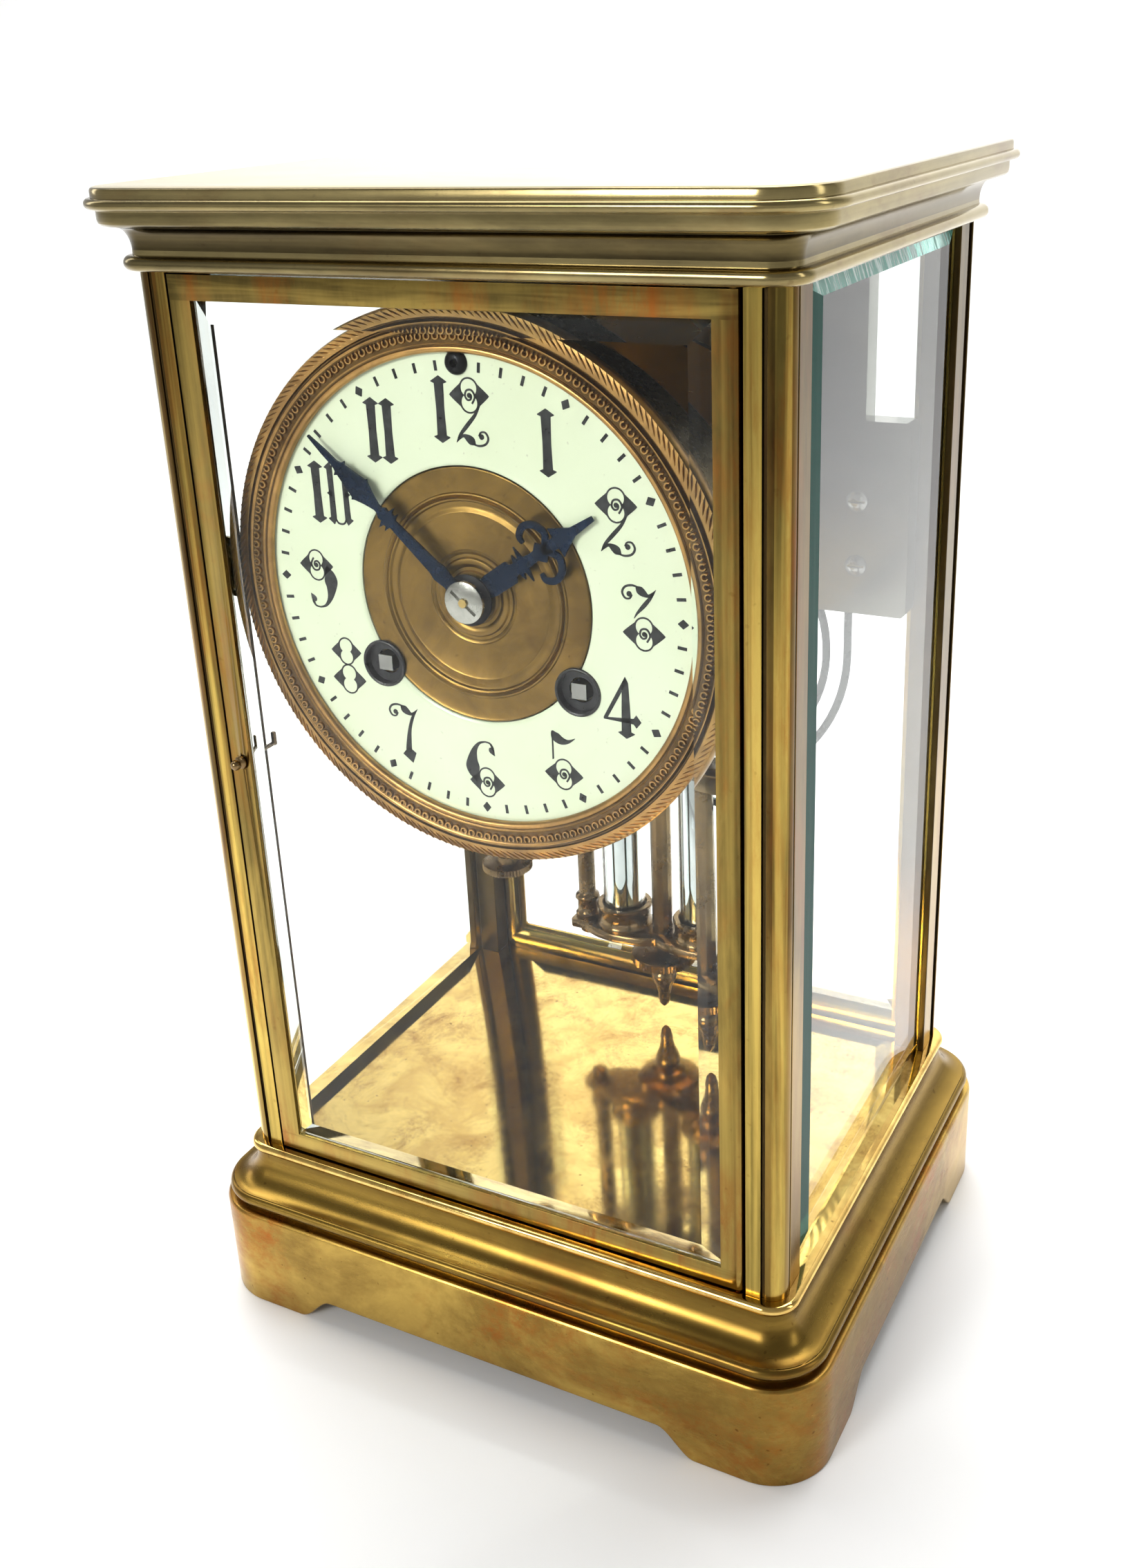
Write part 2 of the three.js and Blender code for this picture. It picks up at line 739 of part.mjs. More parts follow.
// Front right pillar, drawn from above; the others are mirrored copies
function makePillar() {
  const stepX = pillarInner + pillarFlat;
  const roundX = stepX + pillarStep;
  const roundY = doorFront + cornerRadius;
  const stripX = caseHalfWidth - pillarSideSet;
  const grooveX = stripX - pillarGrooveDepth;
  const slotOuter = sideGlassEdgeOuter + sideGroovePlay;
  const slotInner = sideGlassInner - glassClearance;
  const shape = new THREE.Shape();
  shape.moveTo(pillarInner, doorFront);
  shape.lineTo(stepX, doorFront);
  shape.lineTo(stepX, doorFront + pillarStepDepth);
  shape.lineTo(roundX, doorFront + pillarStepDepth);
  shape.lineTo(roundX, doorFront);
  shape.absarc(caseHalfWidth - cornerRadius, roundY, cornerRadius, -Math.PI / 2, 0, false);
  shape.lineTo(grooveX, roundY);
  shape.lineTo(grooveX, roundY + pillarGroove);
  shape.lineTo(stripX, roundY + pillarGroove);
  shape.lineTo(stripX, pillarBack);
  shape.lineTo(slotOuter, pillarBack);
  shape.lineTo(slotOuter, pillarBack - sideGrooveDepth);
  shape.lineTo(slotInner, pillarBack - sideGrooveDepth);
  shape.lineTo(slotInner, pillarBack);
  shape.lineTo(pillarInner - doorStopLip, pillarBack);
  shape.lineTo(pillarInner - doorStopLip, doorStop);
  shape.lineTo(pillarInner, doorStop);
  shape.closePath();
  return plateXY(shape, floorLevel, ceilingLevel, 5);
}

// A pane with its bevel on the outer face: outer face flat inside the bevel, thin at the edge
function bevelledPane(half, low, high, innerY, thickness, edge, bevel) {
  const frontY = innerY - thickness;
  const edgeY = innerY - edge;
  const ring = (inset, y) => [
    [-half + inset, y, low + inset], [half - inset, y, low + inset],
    [half - inset, y, high - inset], [-half + inset, y, high - inset],
  ];
  const rings = [ring(0, innerY), ring(0, edgeY), ring(bevel, frontY)];
  const triangles = [0, 1, 2, 0, 2, 3, 8, 10, 9, 8, 11, 10];
  for (let r = 0; r < 2; r += 1) {
    for (let i = 0; i < 4; i += 1) {
      const a = r * 4 + i;
      const b = r * 4 + ((i + 1) % 4);
      triangles.push(a, b + 4, b, a, a + 4, b + 4);
    }
  }
  const geometry = new THREE.BufferGeometry();
  geometry.setAttribute('position', new THREE.Float32BufferAttribute(rings.flat(2), 3));
  geometry.setIndex(triangles);
  return toManifold(geometry);
}

function makeSideGlass() {
  const half = -sideGlassEnd;
  const pane = bevelledPane(half, floorLevel, ceilingLevel - glassClearance,
    0, sideGlassThickness, sideGlassEdge, sideBevelWidth);
  return pane.rotate([0, 0, 90]).translate([sideGlassInner, 0, 0]);
}

// Doors: the front one; the rear one is a mirrored copy

function makeDoorFrame() {
  const outline = new THREE.Shape();
  const { x, y } = pivotAxis;
  outline.moveTo(-doorHalfWidth, doorFront);
  outline.lineTo(x, doorFront);
  outline.absarc(x, y, pivotInset, -Math.PI / 2, 0, false);
  outline.lineTo(doorHalfWidth, doorBack);
  outline.lineTo(-doorHalfWidth, doorBack);
  outline.closePath();
  const block = plateXY(outline, doorBottom, doorTop, 6);
  const sight = box(-sightHalf, sightHalf, doorFront - 1, doorBack + 1, sightBottom, sightTop);
  const rebate = box(-sightHalf - glassRebate, sightHalf + glassRebate, doorFront + frameLip, doorBack + 1,
    sightBottom - glassRebate, sightTop + glassRebate);
  const latchHole = rodY(latchShaftRadius + pivotPlay, latchAxis.x, latchAxis.y, doorFront - 1, doorBack + 1);
  const pins = joined(
    rodZ(pivotRadius, x, y, doorBottom - doorGap - pivotLength, doorBottom + 1),
    rodZ(pivotRadius, x, y, doorTop - 1, doorTop + doorGap + pivotLength),
  );
  return joined(cut(block, sight, rebate, latchHole), pins);
}

function makeDoorGlass() {
  const half = sightHalf + glassRebate - glassClearance;
  const innerY = doorFront + frameLip + glassClearance + doorGlassEdge
    + (doorGlassThickness - doorGlassEdge) * ((glassRebate - glassClearance) / doorBevelWidth);
  return bevelledPane(half, sightBottom - glassRebate + glassClearance, sightTop + glassRebate - glassClearance,
    innerY, doorGlassThickness, doorGlassEdge, doorBevelWidth);
}

function makeLatch() {
  const { x, y: z } = latchAxis;
  const tongueFront = pillarBack + seatGap;
  const tongueBack = tongueFront + latchTongueThickness;
  const buttonFront = doorFront - latchButtonGap - latchButtonDepth;
  const knobCentre = buttonFront - latchKnobRadius * 0.8;
  const knob = [];
  const steps = 5;
  for (let i = 0; i <= steps; i += 1) {
    const angle = (Math.PI * i) / steps;
    const radius = i === 0 || i === steps ? 0 : latchKnobRadius * Math.sin(angle);
    knob.push([radius, knobCentre - latchKnobRadius * Math.cos(angle)]);
  }
  const tongue = box(x - latchTongueWidth / 2, x + latchTongueWidth / 2, tongueFront, tongueBack,
    z - latchTongueWidth / 2, z + latchTongueLength);
  return joined(
    rodY(latchShaftRadius, x, z, buttonFront, tongueBack, 8),
    rodY(latchButtonRadius, x, z, buttonFront, doorFront - latchButtonGap, 12),
    turnedY(knob, x, z, 8),
    tongue,
  );
}

// Dial, bezel and drum

function makeBezel() {
  const rope = bezelRadius - 1.2;
  const profile = [
    [bezelOpening, dialFront - seatGap], [bezelOpening, bezelFront + 1.7],
    [bezelOpening + 1.2, bezelFront + 1], [rope - 2.3, bezelFront + 0.3],
    [rope - 1.8, bezelFront + 0.9], [rope, bezelFront],
    [bezelRadius, bezelFront + 1.2], [rope, bezelFront + bezelDepth],
    [dialRingRadius + seatGap, bezelFront + bezelDepth], [dialRingRadius + seatGap, dialFront - seatGap],
    [bezelOpening, dialFront - seatGap],
  ];
  return turnedY(profile, 0, dialHeight, 40);
}

function windingHoles(radius, y0, y1, segments = 12) {
  return [-1, 1].map((side) => rodY(radius, side * windingOffset, dialHeight - windingDrop, y0, y1, segments));
}

function makeDialRing() {
  const back = dialFront + dialThickness;
  const ring = turnedY([
    [dialRingInner, back], [dialRingInner, dialFront + 0.3], [dialRingInner + 0.7, dialFront],
    [dialRingRadius, dialFront],
    [dialRingRadius, back], [dialRingInner, back],
  ], 0, dialHeight, 40);
  const regulatorHole = rodY(regulatorHoleRadius, 0, dialHeight + regulatorRise, dialFront - 2, back + 1);
  return cut(ring, ...windingHoles(windingHoleRadius, dialFront - 2, back + 1), regulatorHole);
}

function makeDialCentre() {
  const front = dialFront + dialCentreSet;
  const back = front + dialCentreThickness;
  const disc = rodY(dialRingInner - seatGap, 0, dialHeight, front, back, 40);
  const centreHole = rodY(hourPipeRadius + 0.4, 0, dialHeight, front - 1, back + 1, 12);
  return cut(disc, centreHole, ...windingHoles(windingHoleRadius, front - 1, back + 1));
}

function makeDialDrum() {
  const inner = drumRadius - drumWall;
  const flangeFront = drumBack - drumFlangeThickness;
  const drum = turnedY([
    [inner, drumFront], [drumRadius, drumFront], [drumRadius, drumBack], [drumFlangeInner, drumBack],
    [drumFlangeInner, flangeFront], [inner, flangeFront], [inner, drumFront],
  ], 0, dialHeight, 40);
  const regulatorHole = rodY(regulatorHoleRadius, 0, dialHeight + regulatorRise, flangeFront - 1, drumBack + 1);
  const stemHole = rodZ(thumbStemRadius + 0.25, 0, thumbScrewY,
    dialHeight - drumRadius - 2, dialHeight - inner + 2, 12);
  return cut(drum, regulatorHole, stemHole);
}

function makeSupportArm() {
  const front = pillarBack + seatGap;
  const outer = pillarInner - doorStopLip + armOverlap;
  const inner = drumRadius + armGap;
  const shape = new THREE.Shape();
  shape.moveTo(outer, front);
  shape.lineTo(inner, front);
  shape.lineTo(inner, front + armFlange);
  shape.lineTo(inner + armThickness, front + armFlange);
  shape.lineTo(inner + armThickness, front + armThickness);
  shape.lineTo(outer, front + armThickness);
  shape.closePath();
  return plateXY(shape, dialHeight - armHeight / 2, dialHeight + armHeight / 2);
}

const thumbScrewY = drumFront + thumbScrewSet;

function makeThumbScrew() {
  const top = dialHeight - drumRadius - thumbScrewGap + thumbScrewThickness / 2;
  const bottom = top - thumbScrewThickness;
  const stemTop = dialHeight - drumRadius + drumWall + 1;
  const knurls = 16;
  const rim = new THREE.Shape();
  for (let i = 0; i < knurls * 2; i += 1) {
    const angle = (Math.PI * i) / knurls;
    const radius = thumbScrewRadius - (i % 2) * 0.3;
    const method = i === 0 ? 'moveTo' : 'lineTo';
    rim[method](radius * Math.cos(angle), radius * Math.sin(angle));
  }
  rim.closePath();
  const disc = plateXY(rim, bottom, top).translate([0, thumbScrewY, 0]);
  return joined(disc, rodZ(thumbStemRadius + 1, 0, thumbScrewY, top - 0.5, top + 1.6, 10),
    rodZ(thumbStemRadius, 0, thumbScrewY, top, stemTop, 10));
}

// Hands: outlines drawn pointing up from the centre, then turned to the time shown

function handSolid(shape, hubRadius, hole, front, angle) {
  const blade = plateXZ(shape, front, front + handThickness, 6);
  const hub = rodY(hubRadius, 0, 0, front, front + handThickness, 16);
  const bore = rodY(hole, 0, 0, front - 1, front + handThickness + 1, 12);
  return cut(joined(blade, hub), bore).rotate([0, angle, 0]).translate([0, 0, dialHeight]);
}

// Half outline of a hand as [half width, distance from the centre], mirrored to both sides
function symmetricShape(side) {
  const shape = new THREE.Shape();
  side.forEach(([x, z], i) => (i === 0 ? shape.moveTo(x, z) : shape.lineTo(x, z)));
  [...side].reverse().forEach(([x, z]) => {
    if (x > 0) shape.lineTo(-x, z);
  });
  shape.closePath();
  return shape;
}

function makeMinuteHand() {
  const long = minuteHandLength;
  const shape = symmetricShape([
    [0.75, 2], [0.8, long * 0.4], [1.7, long * 0.44], [0.9, long * 0.48], [1.3, long * 0.55],
    [2.9, long * 0.66], [1.3, long * 0.76], [1.5, long * 0.79], [0.6, long * 0.83], [0, long],
  ]);
  return handSolid(shape, minuteHubRadius, arborTipRadius + 0.15, minuteHandFront, minuteAngle);
}

function makeHourHand() {
  const long = hourHandLength;
  const shape = symmetricShape([
    [1.1, 2.4], [1.6, long * 0.3], [2.3, long * 0.42], [1, long * 0.54], [2.6, long * 0.57],
    [1, long * 0.6], [1.1, long * 0.66], [4.4, long * 0.72], [3.6, long * 0.8], [1.2, long * 0.78],
    [2.2, long * 0.84], [0, long],
  ]);
  return handSolid(shape, hourHubRadius, hourPipeRadius + 0.15, hourHandFront, hourAngle);
}

function makeHandNut() {
  const front = handNutFront;
  const nut = turnedY([
    [arborTipRadius + 0.2, front], [handNutRadius - 0.5, front], [handNutRadius, front + 0.4],
    [handNutRadius, front + handNutThickness], [arborTipRadius + 0.2, front + handNutThickness],
    [arborTipRadius + 0.2, front],
  ], 0, dialHeight, 16);
  const slot = box(-handNutRadius - 1, handNutRadius + 1, front - 1, front + 0.4,
    dialHeight - 0.35, dialHeight + 0.35).translate([0, 0, -dialHeight])
    .rotate([0, 40, 0]).translate([0, 0, dialHeight]);
  return cut(nut, slot);
}

// Movement

// A toothed outline: two points a tooth, with a thin arc left at the tip and the root
function gearShape(teeth, radius, height = toothHeight) {
  const shape = new THREE.Shape();
  for (let i = 0; i < teeth * 2; i += 1) {
    const angle = (Math.PI * (i + 0.5)) / teeth;
    const r = i % 2 === 0 ? radius : radius - height;
    const method = i === 0 ? 'moveTo' : 'lineTo';
    shape[method](r * Math.cos(angle), r * Math.sin(angle));
  }
  shape.closePath();
  return shape;
}

// A wheel with arms: the teeth, the rim, and openings between the arms
function wheel(place, teeth, radius, y0, y1, arms = 0, hub = 3) {
  const shape = gearShape(teeth, radius);
  const rim = radius - toothHeight - wheelRim;
  for (let i = 0; i < arms; i += 1) {
    const middle = ((i + 0.5) * 2 * Math.PI) / arms;
    const outerHalf = Math.PI / arms - 0.9 / rim;
    const innerHalf = Math.PI / arms - 0.9 / hub;
    const opening = new THREE.Path();
    [-1, -1 / 3, 1 / 3, 1].forEach((part, step) => {
      const angle = middle + outerHalf * part;
      opening[step === 0 ? 'moveTo' : 'lineTo'](rim * Math.cos(angle), rim * Math.sin(angle));
    });
    [1, -1].forEach((part) => {
      const angle = middle + innerHalf * part;
      opening.lineTo(hub * Math.cos(angle), hub * Math.sin(angle));
    });
    opening.closePath();
    shape.holes.push(opening);
  }
  return plateXZ(shape, y0, y1).translate([place.x, 0, place.y]);
}

function pinion(place, leaves, radius, y0, y1) {
  return plateXZ(gearShape(leaves, radius, 0.8), y0, y1).translate([place.x, 0, place.y]);
}

// An arbor between the plates with a pivot in each plate
function arbor(place, radius = arborRadius) {
  return turnedY([
    [0, frontPlateY - 0.2], [pivotR, frontPlateY - 0.2], [pivotR, frontPlateBack + endPlay],
    [radius, frontPlateBack + endPlay], [radius, backPlateY - endPlay], [pivotR, backPlateY - endPlay],
    [pivotR, backPlateBack + 0.2], [0, backPlateBack + 0.2],
  ], place.x, place.y, 6);
}

function plateDisc(y0, y1) {
  return rodY(plateRadius, 0, dialHeight, y0, y1, 40);
}

const platePillarPlaces = [41.2, 138.8, 257.9, 282.1]
  .map((angle) => along(centreArbor, angle, plateRadius - platePillarInset));

function pivotHoleTools(y0, y1) {
  return [...goingArbors, ...strikeArbors]
    .map((place) => rodY(pivotR + plateHoleClearance, place.x, place.y, y0, y1, 6));
}

// The plates' rims are notched for the regulator arbor that passes them at the top
function regulatorNotch(y0, y1) {
  const z = dialHeight + regulatorRise;
  const half = regulatorHoleRadius;
  const top = dialHeight + Math.max(plateRadius, regulatorRise) + 1;
  return box(-half, half, y0, y1, z - half, top);
}

function makeFrontPlate() {
  const y0 = frontPlateY;
  const y1 = frontPlateBack;
  const windingHolesInPlate = windingHoles(windingArborRadius + plateHoleClearance, y0 - 1, y1 + 1, 12);
  const centreHole = rodY(cannonPipeRadius, centreArbor.x, centreArbor.y, y0 - 1, y1 + 1, 12);
  const palletHole = rodY(pivotR + plateHoleClearance, palletArbor.x, palletArbor.y, y0 - 1, y1 + 1, 8);
  const plate = cut(plateDisc(y0, y1), ...windingHolesInPlate, centreHole, palletHole,
    regulatorNotch(y0 - 1, y1 + 1), ...pivotHoleTools(y0 - 1, y1 + 1));
  const stud = rodY(studRadius, minuteWheelArbor.x, minuteWheelArbor.y, cannonPlane - 1.4, y0 + 0.5, 10);
  return joined(plate, stud);
}

function makeBackPlate() {
  const y0 = backPlateY;
  const y1 = backPlateBack;
  const plate = cut(
    plateDisc(y0, y1),
    ...windingHoles(windingPivotRadius + plateHoleClearance, y0 - 1, y1 + 1, 8),
    rodY(pivotR + plateHoleClearance, centreArbor.x, centreArbor.y, y0 - 1, y1 + 1, 8),
    rodY(2, palletArbor.x, palletArbor.y, y0 - 1, y1 + 1, 8),
    regulatorNotch(y0 - 1, y1 + 1),
    ...pivotHoleTools(y0 - 1, y1 + 1),
  );
  const pillars = platePillarPlaces
    .map((place) => rodY(platePillarRadius, place.x, place.y, frontPlateBack, y0 + 0.5, 12));
  return joined(plate, ...pillars);
}

function makeBarrel(place) {
  const bore = rodY(windingArborRadius + seatGap, place.x, place.y, barrelFront - 1, barrelBack + 1, 12);
  const teeth = wheel(place, greatWheelTeeth, greatWheelRadius, barrelFront, barrelFront + greatWheelThickness);
  const drum = turnedY([
    [0, barrelFront + 0.5], [barrelRadius, barrelFront + 0.5], [barrelRadius, barrelBack - 0.6],
    [barrelRadius - 0.8, barrelBack], [0, barrelBack],
  ], place.x, place.y, 24);
  return cut(joined(teeth, drum), bore);
}

function makeWindingArbor(place) {
  const squareEnd = dialFront + 0.4;
  const squareBack = squareEnd + windingSquareLength;
  const half = windingSquare / 2;
  const square = box(place.x - half, place.x + half, squareEnd, squareBack + 1, place.y - half, place.y + half);
  const shaft = turnedY([
    [0, squareBack], [windingArborRadius, squareBack], [windingArborRadius, barrelBack + 0.8],
    [windingPivotRadius, barrelBack + 0.8], [windingPivotRadius, backPlateBack + 0.2], [0, backPlateBack + 0.2],
  ], place.x, place.y, 8);
  const ratchetBack = frontPlateY - 0.6;
  const ratchet = wheel(place, ratchetTeeth, ratchetRadius, ratchetBack - ratchetThickness, ratchetBack);
  return joined(square, shaft, ratchet);
}

function makeSecondWheel(place) {
  return joined(
    arbor(place),
    wheel(place, secondWheelTeeth, secondWheelRadius, secondPlane, secondPlane + wheelThickness, 4),
    pinion(place, pinionLeaves, secondPinionRadius,
      barrelFront - pinionLap, barrelFront + greatWheelThickness + pinionLap),
  );
}

function makeCentreWheel() {
  const cannonBack = cannonPlane + 2;
  const shaft = turnedY([
    [0, handTip], [arborTipRadius, handTip], [arborTipRadius, minuteHandFront + handThickness + 0.15],
    [cannonPipeRadius, minuteHandFront + handThickness + 0.15], [cannonPipeRadius, cannonBack],
    [centreArborRadius, cannonBack], [centreArborRadius, backPlateY - endPlay], [pivotR, backPlateY - endPlay],
    [pivotR, backPlateBack + 0.2], [0, backPlateBack + 0.2],
  ], centreArbor.x, centreArbor.y, 8);
  return joined(
    shaft,
    pinion(centreArbor, cannonLeaves, cannonPinionRadius, cannonPlane, cannonBack),
    pinion(centreArbor, pinionLeaves, centrePinionRadius, secondPlane - pinionLap, secondPlaneBack + pinionLap),
    wheel(centreArbor, centreWheelTeeth, centreWheelRadius, centrePlane, centrePlane + wheelThickness, 4),
  );
}

function makeThirdWheel() {
  return joined(
    arbor(thirdArbor),
    wheel(thirdArbor, thirdWheelTeeth, thirdWheelRadius, thirdPlane, thirdPlane + wheelThickness, 4, 2.2),
    pinion(thirdArbor, pinionLeaves, thirdPinionRadius,
      centrePlane - pinionLap, centrePlane + wheelThickness + pinionLap),
  );
}

function makeEscapeWheel() {
  const shape = new THREE.Shape();
  const lean = 0.09;
  for (let i = 0; i < escapeWheelTeeth; i += 1) {
    const start = (2 * Math.PI * i) / escapeWheelTeeth;
    const root = escapeWheelRadius - 1.3;
    const rootAngle = start + 0.11;
    const method = i === 0 ? 'moveTo' : 'lineTo';
    shape[method](escapeWheelRadius * Math.cos(start + lean), escapeWheelRadius * Math.sin(start + lean));
    shape.lineTo(root * Math.cos(rootAngle), root * Math.sin(rootAngle));
  }
  shape.closePath();
  const disc = plateXZ(shape, escapePlane, escapePlane + wheelThickness)
    .translate([escapeArbor.x, 0, escapeArbor.y]);
  return joined(
    arbor(escapeArbor, 0.8),
    disc,
    pinion(escapeArbor, 6, escapePinionRadius, thirdPlane - pinionLap, thirdPlaneBack + pinionLap),
  );
}

function makePinWheel() {
  const pins = [];
  const pinCircle = pinWheelRadius - toothHeight - 1;
  for (let i = 0; i < liftingPins; i += 1) {
    const place = along(pinWheelArbor, (360 * i) / liftingPins, pinCircle);
    pins.push(rodY(liftingPinRadius, place.x, place.y,
      thirdPlane + 0.5, thirdPlane + wheelThickness + liftingPinLength, 5));
  }
  return joined(
    arbor(pinWheelArbor),
    wheel(pinWheelArbor, pinWheelTeeth, pinWheelRadius, thirdPlane, thirdPlane + wheelThickness),
    pinion(pinWheelArbor, pinionLeaves, pinWheelPinionRadius,
      secondPlane - pinionLap, secondPlaneBack + pinionLap),
    ...pins,
  );
}

function makeFly() {
  const front = frontPlateBack + 3;
  const back = thirdPlane - 1.2;
  const vane = 0.35;
  return joined(
    arbor(flyArbor, 0.8),
    box(flyArbor.x - flyHalfWidth, flyArbor.x + flyHalfWidth, front, back,
      flyArbor.y - vane, flyArbor.y + vane),
    pinion(flyArbor, 6, flyPinionRadius, thirdPlane - pinionLap, thirdPlaneBack + pinionLap),
  );
}

function makeHourWheel() {
  const pipeFront = hourHandFront - 0.1;
  const back = hourPlane + wheelThickness;
  const pipe = turnedY([
    [hourPipeBore, pipeFront], [hourPipeRadius, pipeFront], [hourPipeRadius, back],
    [hourPipeBore, back], [hourPipeBore, pipeFront],
  ], centreArbor.x, centreArbor.y, 12);
  const disc = wheel(centreArbor, hourWheelTeeth, hourWheelRadius, hourPlane, back);
  const bore = rodY(hourPipeBore, centreArbor.x, centreArbor.y, hourPlane - 1, back + 1, 12);
  return joined(pipe, cut(disc, bore));
}

function makeMinuteWheel() {
  const place = minuteWheelArbor;
  const bore = rodY(studRadius + plateHoleClearance, place.x, place.y, hourPlane - 2, cannonPlane + 4, 10);
  const back = cannonPlane + 0.5 + wheelThickness;
  return cut(joined(
    wheel(place, minuteWheelTeeth, minuteWheelRadius, back - wheelThickness, back),
    pinion(place, pinionLeaves, minutePinionRadius, hourPlane - pinionLap, back - 0.5),
  ), bore);
}

// Anchor over the escape wheel, its arbor, and the crutch that leads the pendulum rod
function makeAnchor() {
  const { x, y: z } = palletArbor;
  const drop = z - escapeArbor.y;
  const reach = escapeWheelRadius + palletGap;
  const foot = palletHalfSpan;
  const footZ = -drop + Math.sqrt(reach * reach - foot * foot);
  const shape = new THREE.Shape();
  shape.moveTo(-foot - 0.5, footZ - 0.6);
  shape.lineTo(-foot - 1.6, footZ + 1);
  shape.lineTo(-foot - 0.4, -0.4);
  shape.quadraticCurveTo(-3, 2.6, 0, 2.4);
  shape.quadraticCurveTo(3, 2.6, foot + 0.4, -0.4);
  shape.lineTo(foot + 1.6, footZ + 1);
  shape.lineTo(foot + 0.5, footZ - 0.6);
  shape.lineTo(foot + 0.2, footZ + 0.5);
  shape.quadraticCurveTo(foot - 1, -1.6, 0, -1.6);
  shape.quadraticCurveTo(-foot + 1, -1.6, -foot - 0.2, footZ + 0.5);
  shape.closePath();
  const anchor = plateXZ(shape, escapePlane - 0.3, escapePlane + wheelThickness + 0.3, 4).translate([x, 0, z]);
  const shaft = turnedY([
    [0, frontPlateY - 0.2], [pivotR, frontPlateY - 0.2], [pivotR, frontPlateBack + endPlay],
    [arborRadius, frontPlateBack + endPlay], [arborRadius, cockFront - seatGap], [pivotR, cockFront - seatGap],
    [pivotR, cockBack - seatGap], [0, cockBack - seatGap],
  ], x, z, 6);
  const crutchEnd = z - crutchLength;
  const crutchBack = crutchPlane + crutchThickness;
  const inner = pendulumRodRadius + crutchPlay;
  const outer = inner + forkWall;
  const forkBack = pendulumY + inner;
  const stem = box(x - crutchHalf, x + crutchHalf, crutchPlane, crutchBack, crutchEnd, z);
  const bridge = box(x - outer, x + outer, crutchPlane, crutchBack, crutchEnd - 1, crutchEnd + 1.4);
  const tine = (side) => {
    const near = side * inner;
    const far = side * outer;
    return box(Math.min(near, far), Math.max(near, far), crutchPlane, forkBack, crutchEnd - 1, crutchEnd + 1.4);
  };
  return joined(anchor, shaft, stem, bridge, tine(-1), tine(1));
}

// Back cock: a bridge on the back plate that carries the anchor's rear pivot,
// the suspension between two bars, and the end of the regulator arbor
function makeBackCock() {
  const legX = cockLegOffset;
  const legHalf = cockLegHalf;
  const bottom = swingHeight - cockDrop;
  const legs = [-1, 1].map((side) => box(side * legX - legHalf, side * legX + legHalf,
    backPlateBack, cockFront + 0.5, bottom, swingHeight - 1));
  const wall = box(-legX - legHalf, legX + legHalf, cockFront, cockBack, bottom, suspensionTop + 1);
  const hole = (radius, z, sides) => rodY(radius, 0, z, cockFront - 1, cockBack + 1, sides);
  const pivotHole = hole(pivotR + plateHoleClearance, swingHeight, 8);
  const regulatorHole = hole(regulatorHoleRadius, dialHeight + regulatorRise, 10);
  const barInner = suspensionBlockHalf + 0.2;
  const bars = [barInner, -barInner - 2.4].map((x) => box(x, x + 2.4, cockBack - 0.5,
    gongPlateFront - seatGap, suspensionTop - suspensionBlockHeight, suspensionTop));
  return joined(cut(wall, pivotHole, regulatorHole), ...legs, ...bars);
}

function makeSuspension() {
  const half = suspensionBlockHalf;
  const blockBottom = suspensionTop - suspensionBlockHeight;
  const block = box(-half, half, pendulumY - 2, pendulumY + 2, blockBottom, suspensionTop);
  const stem = rodZ(1, 0, pendulumY, suspensionTop - 0.5, suspensionTop + 5, 10);
  const wheelTop = turnedZ([
    [0, suspensionTop + 1.4], [2.6, suspensionTop + 1.4], [2.6, suspensionTop + 2.4],
    [0, suspensionTop + 3.2],
  ], 0, pendulumY, 10);
  const strip = box(-2, 2, pendulumY - 0.12, pendulumY + 0.12, swingHeight - 3, blockBottom + 0.5);
  const foot = box(-2.6, 2.6, pendulumY - 0.9, pendulumY + 0.9, swingHeight - 6, swingHeight - 2.8);
  const pin = rodY(0.5, 0, swingHeight - 4.4, pendulumY - 3, pendulumY + 3, 10);
  return joined(block, stem, wheelTop, strip, foot, pin);
}

function makeRegulatorArbor() {
  const z = dialHeight + regulatorRise;
  const front = dialFront + 0.3;
  const half = regulatorRadius * 0.68;
  const back = pendulumY - 2 - seatGap;
  const squareBack = front + regulatorSquareLength;
  const square = box(-half, half, front, squareBack, z - half, z + half);
  const shaft = turnedY([
    [0, squareBack - 1], [regulatorRadius, squareBack - 1], [regulatorRadius, back - 2.4],
    [1.5, back - 2.4], [2, back], [0, back],
  ], 0, z, 10);
  return joined(square, shaft);
}

// Hammer: an arbor in the plates, an arm down the back and a head beside the gong's outer turn
function makeHammer() {
  const { x, y: z } = hammerArbor;
  const armPlane = backPlateBack + 1.2;
  const headZ = gongCentreZ + 2;
  const gongLeft = gongCentreX - (gongOuterRadius - gongPitch / 2) - gongWireRadius;
  const headRight = gongLeft - hammerStrikeGap;
  const headLeft = headRight - hammerHeadLength;
  const rodX = headLeft + 2.5;
  const shaft = turnedY([
    [0, frontPlateY - 0.2], [pivotR, frontPlateY - 0.2], [pivotR, frontPlateBack + endPlay],
    [arborRadius, frontPlateBack + endPlay], [arborRadius, backPlateY - endPlay],
    [pivotR, backPlateY - endPlay], [pivotR, armPlane + 1.4], [0, armPlane + 1.4],
  ], x, z, 6);
  const arm = box(x - 1.1, x + 1.1, armPlane, armPlane + 1.4, headZ - 1, z + 2);
  const foot = box(Math.min(rodX, x) - 1.1, Math.max(rodX, x) + 1.1, armPlane, armPlane + 1.4,
    headZ - 1.1, headZ + 1.1);
  const rod = rodY(arborRadius, rodX, headZ, armPlane, gongY, 8);
  const head = rodZ(hammerHeadRadius, 0, 0, headLeft, headRight, 12)
    .rotate([0, 90, 0]).translate([0, gongY, headZ]);
  return joined(shaft, arm, foot, rod, head);
}

// Gong

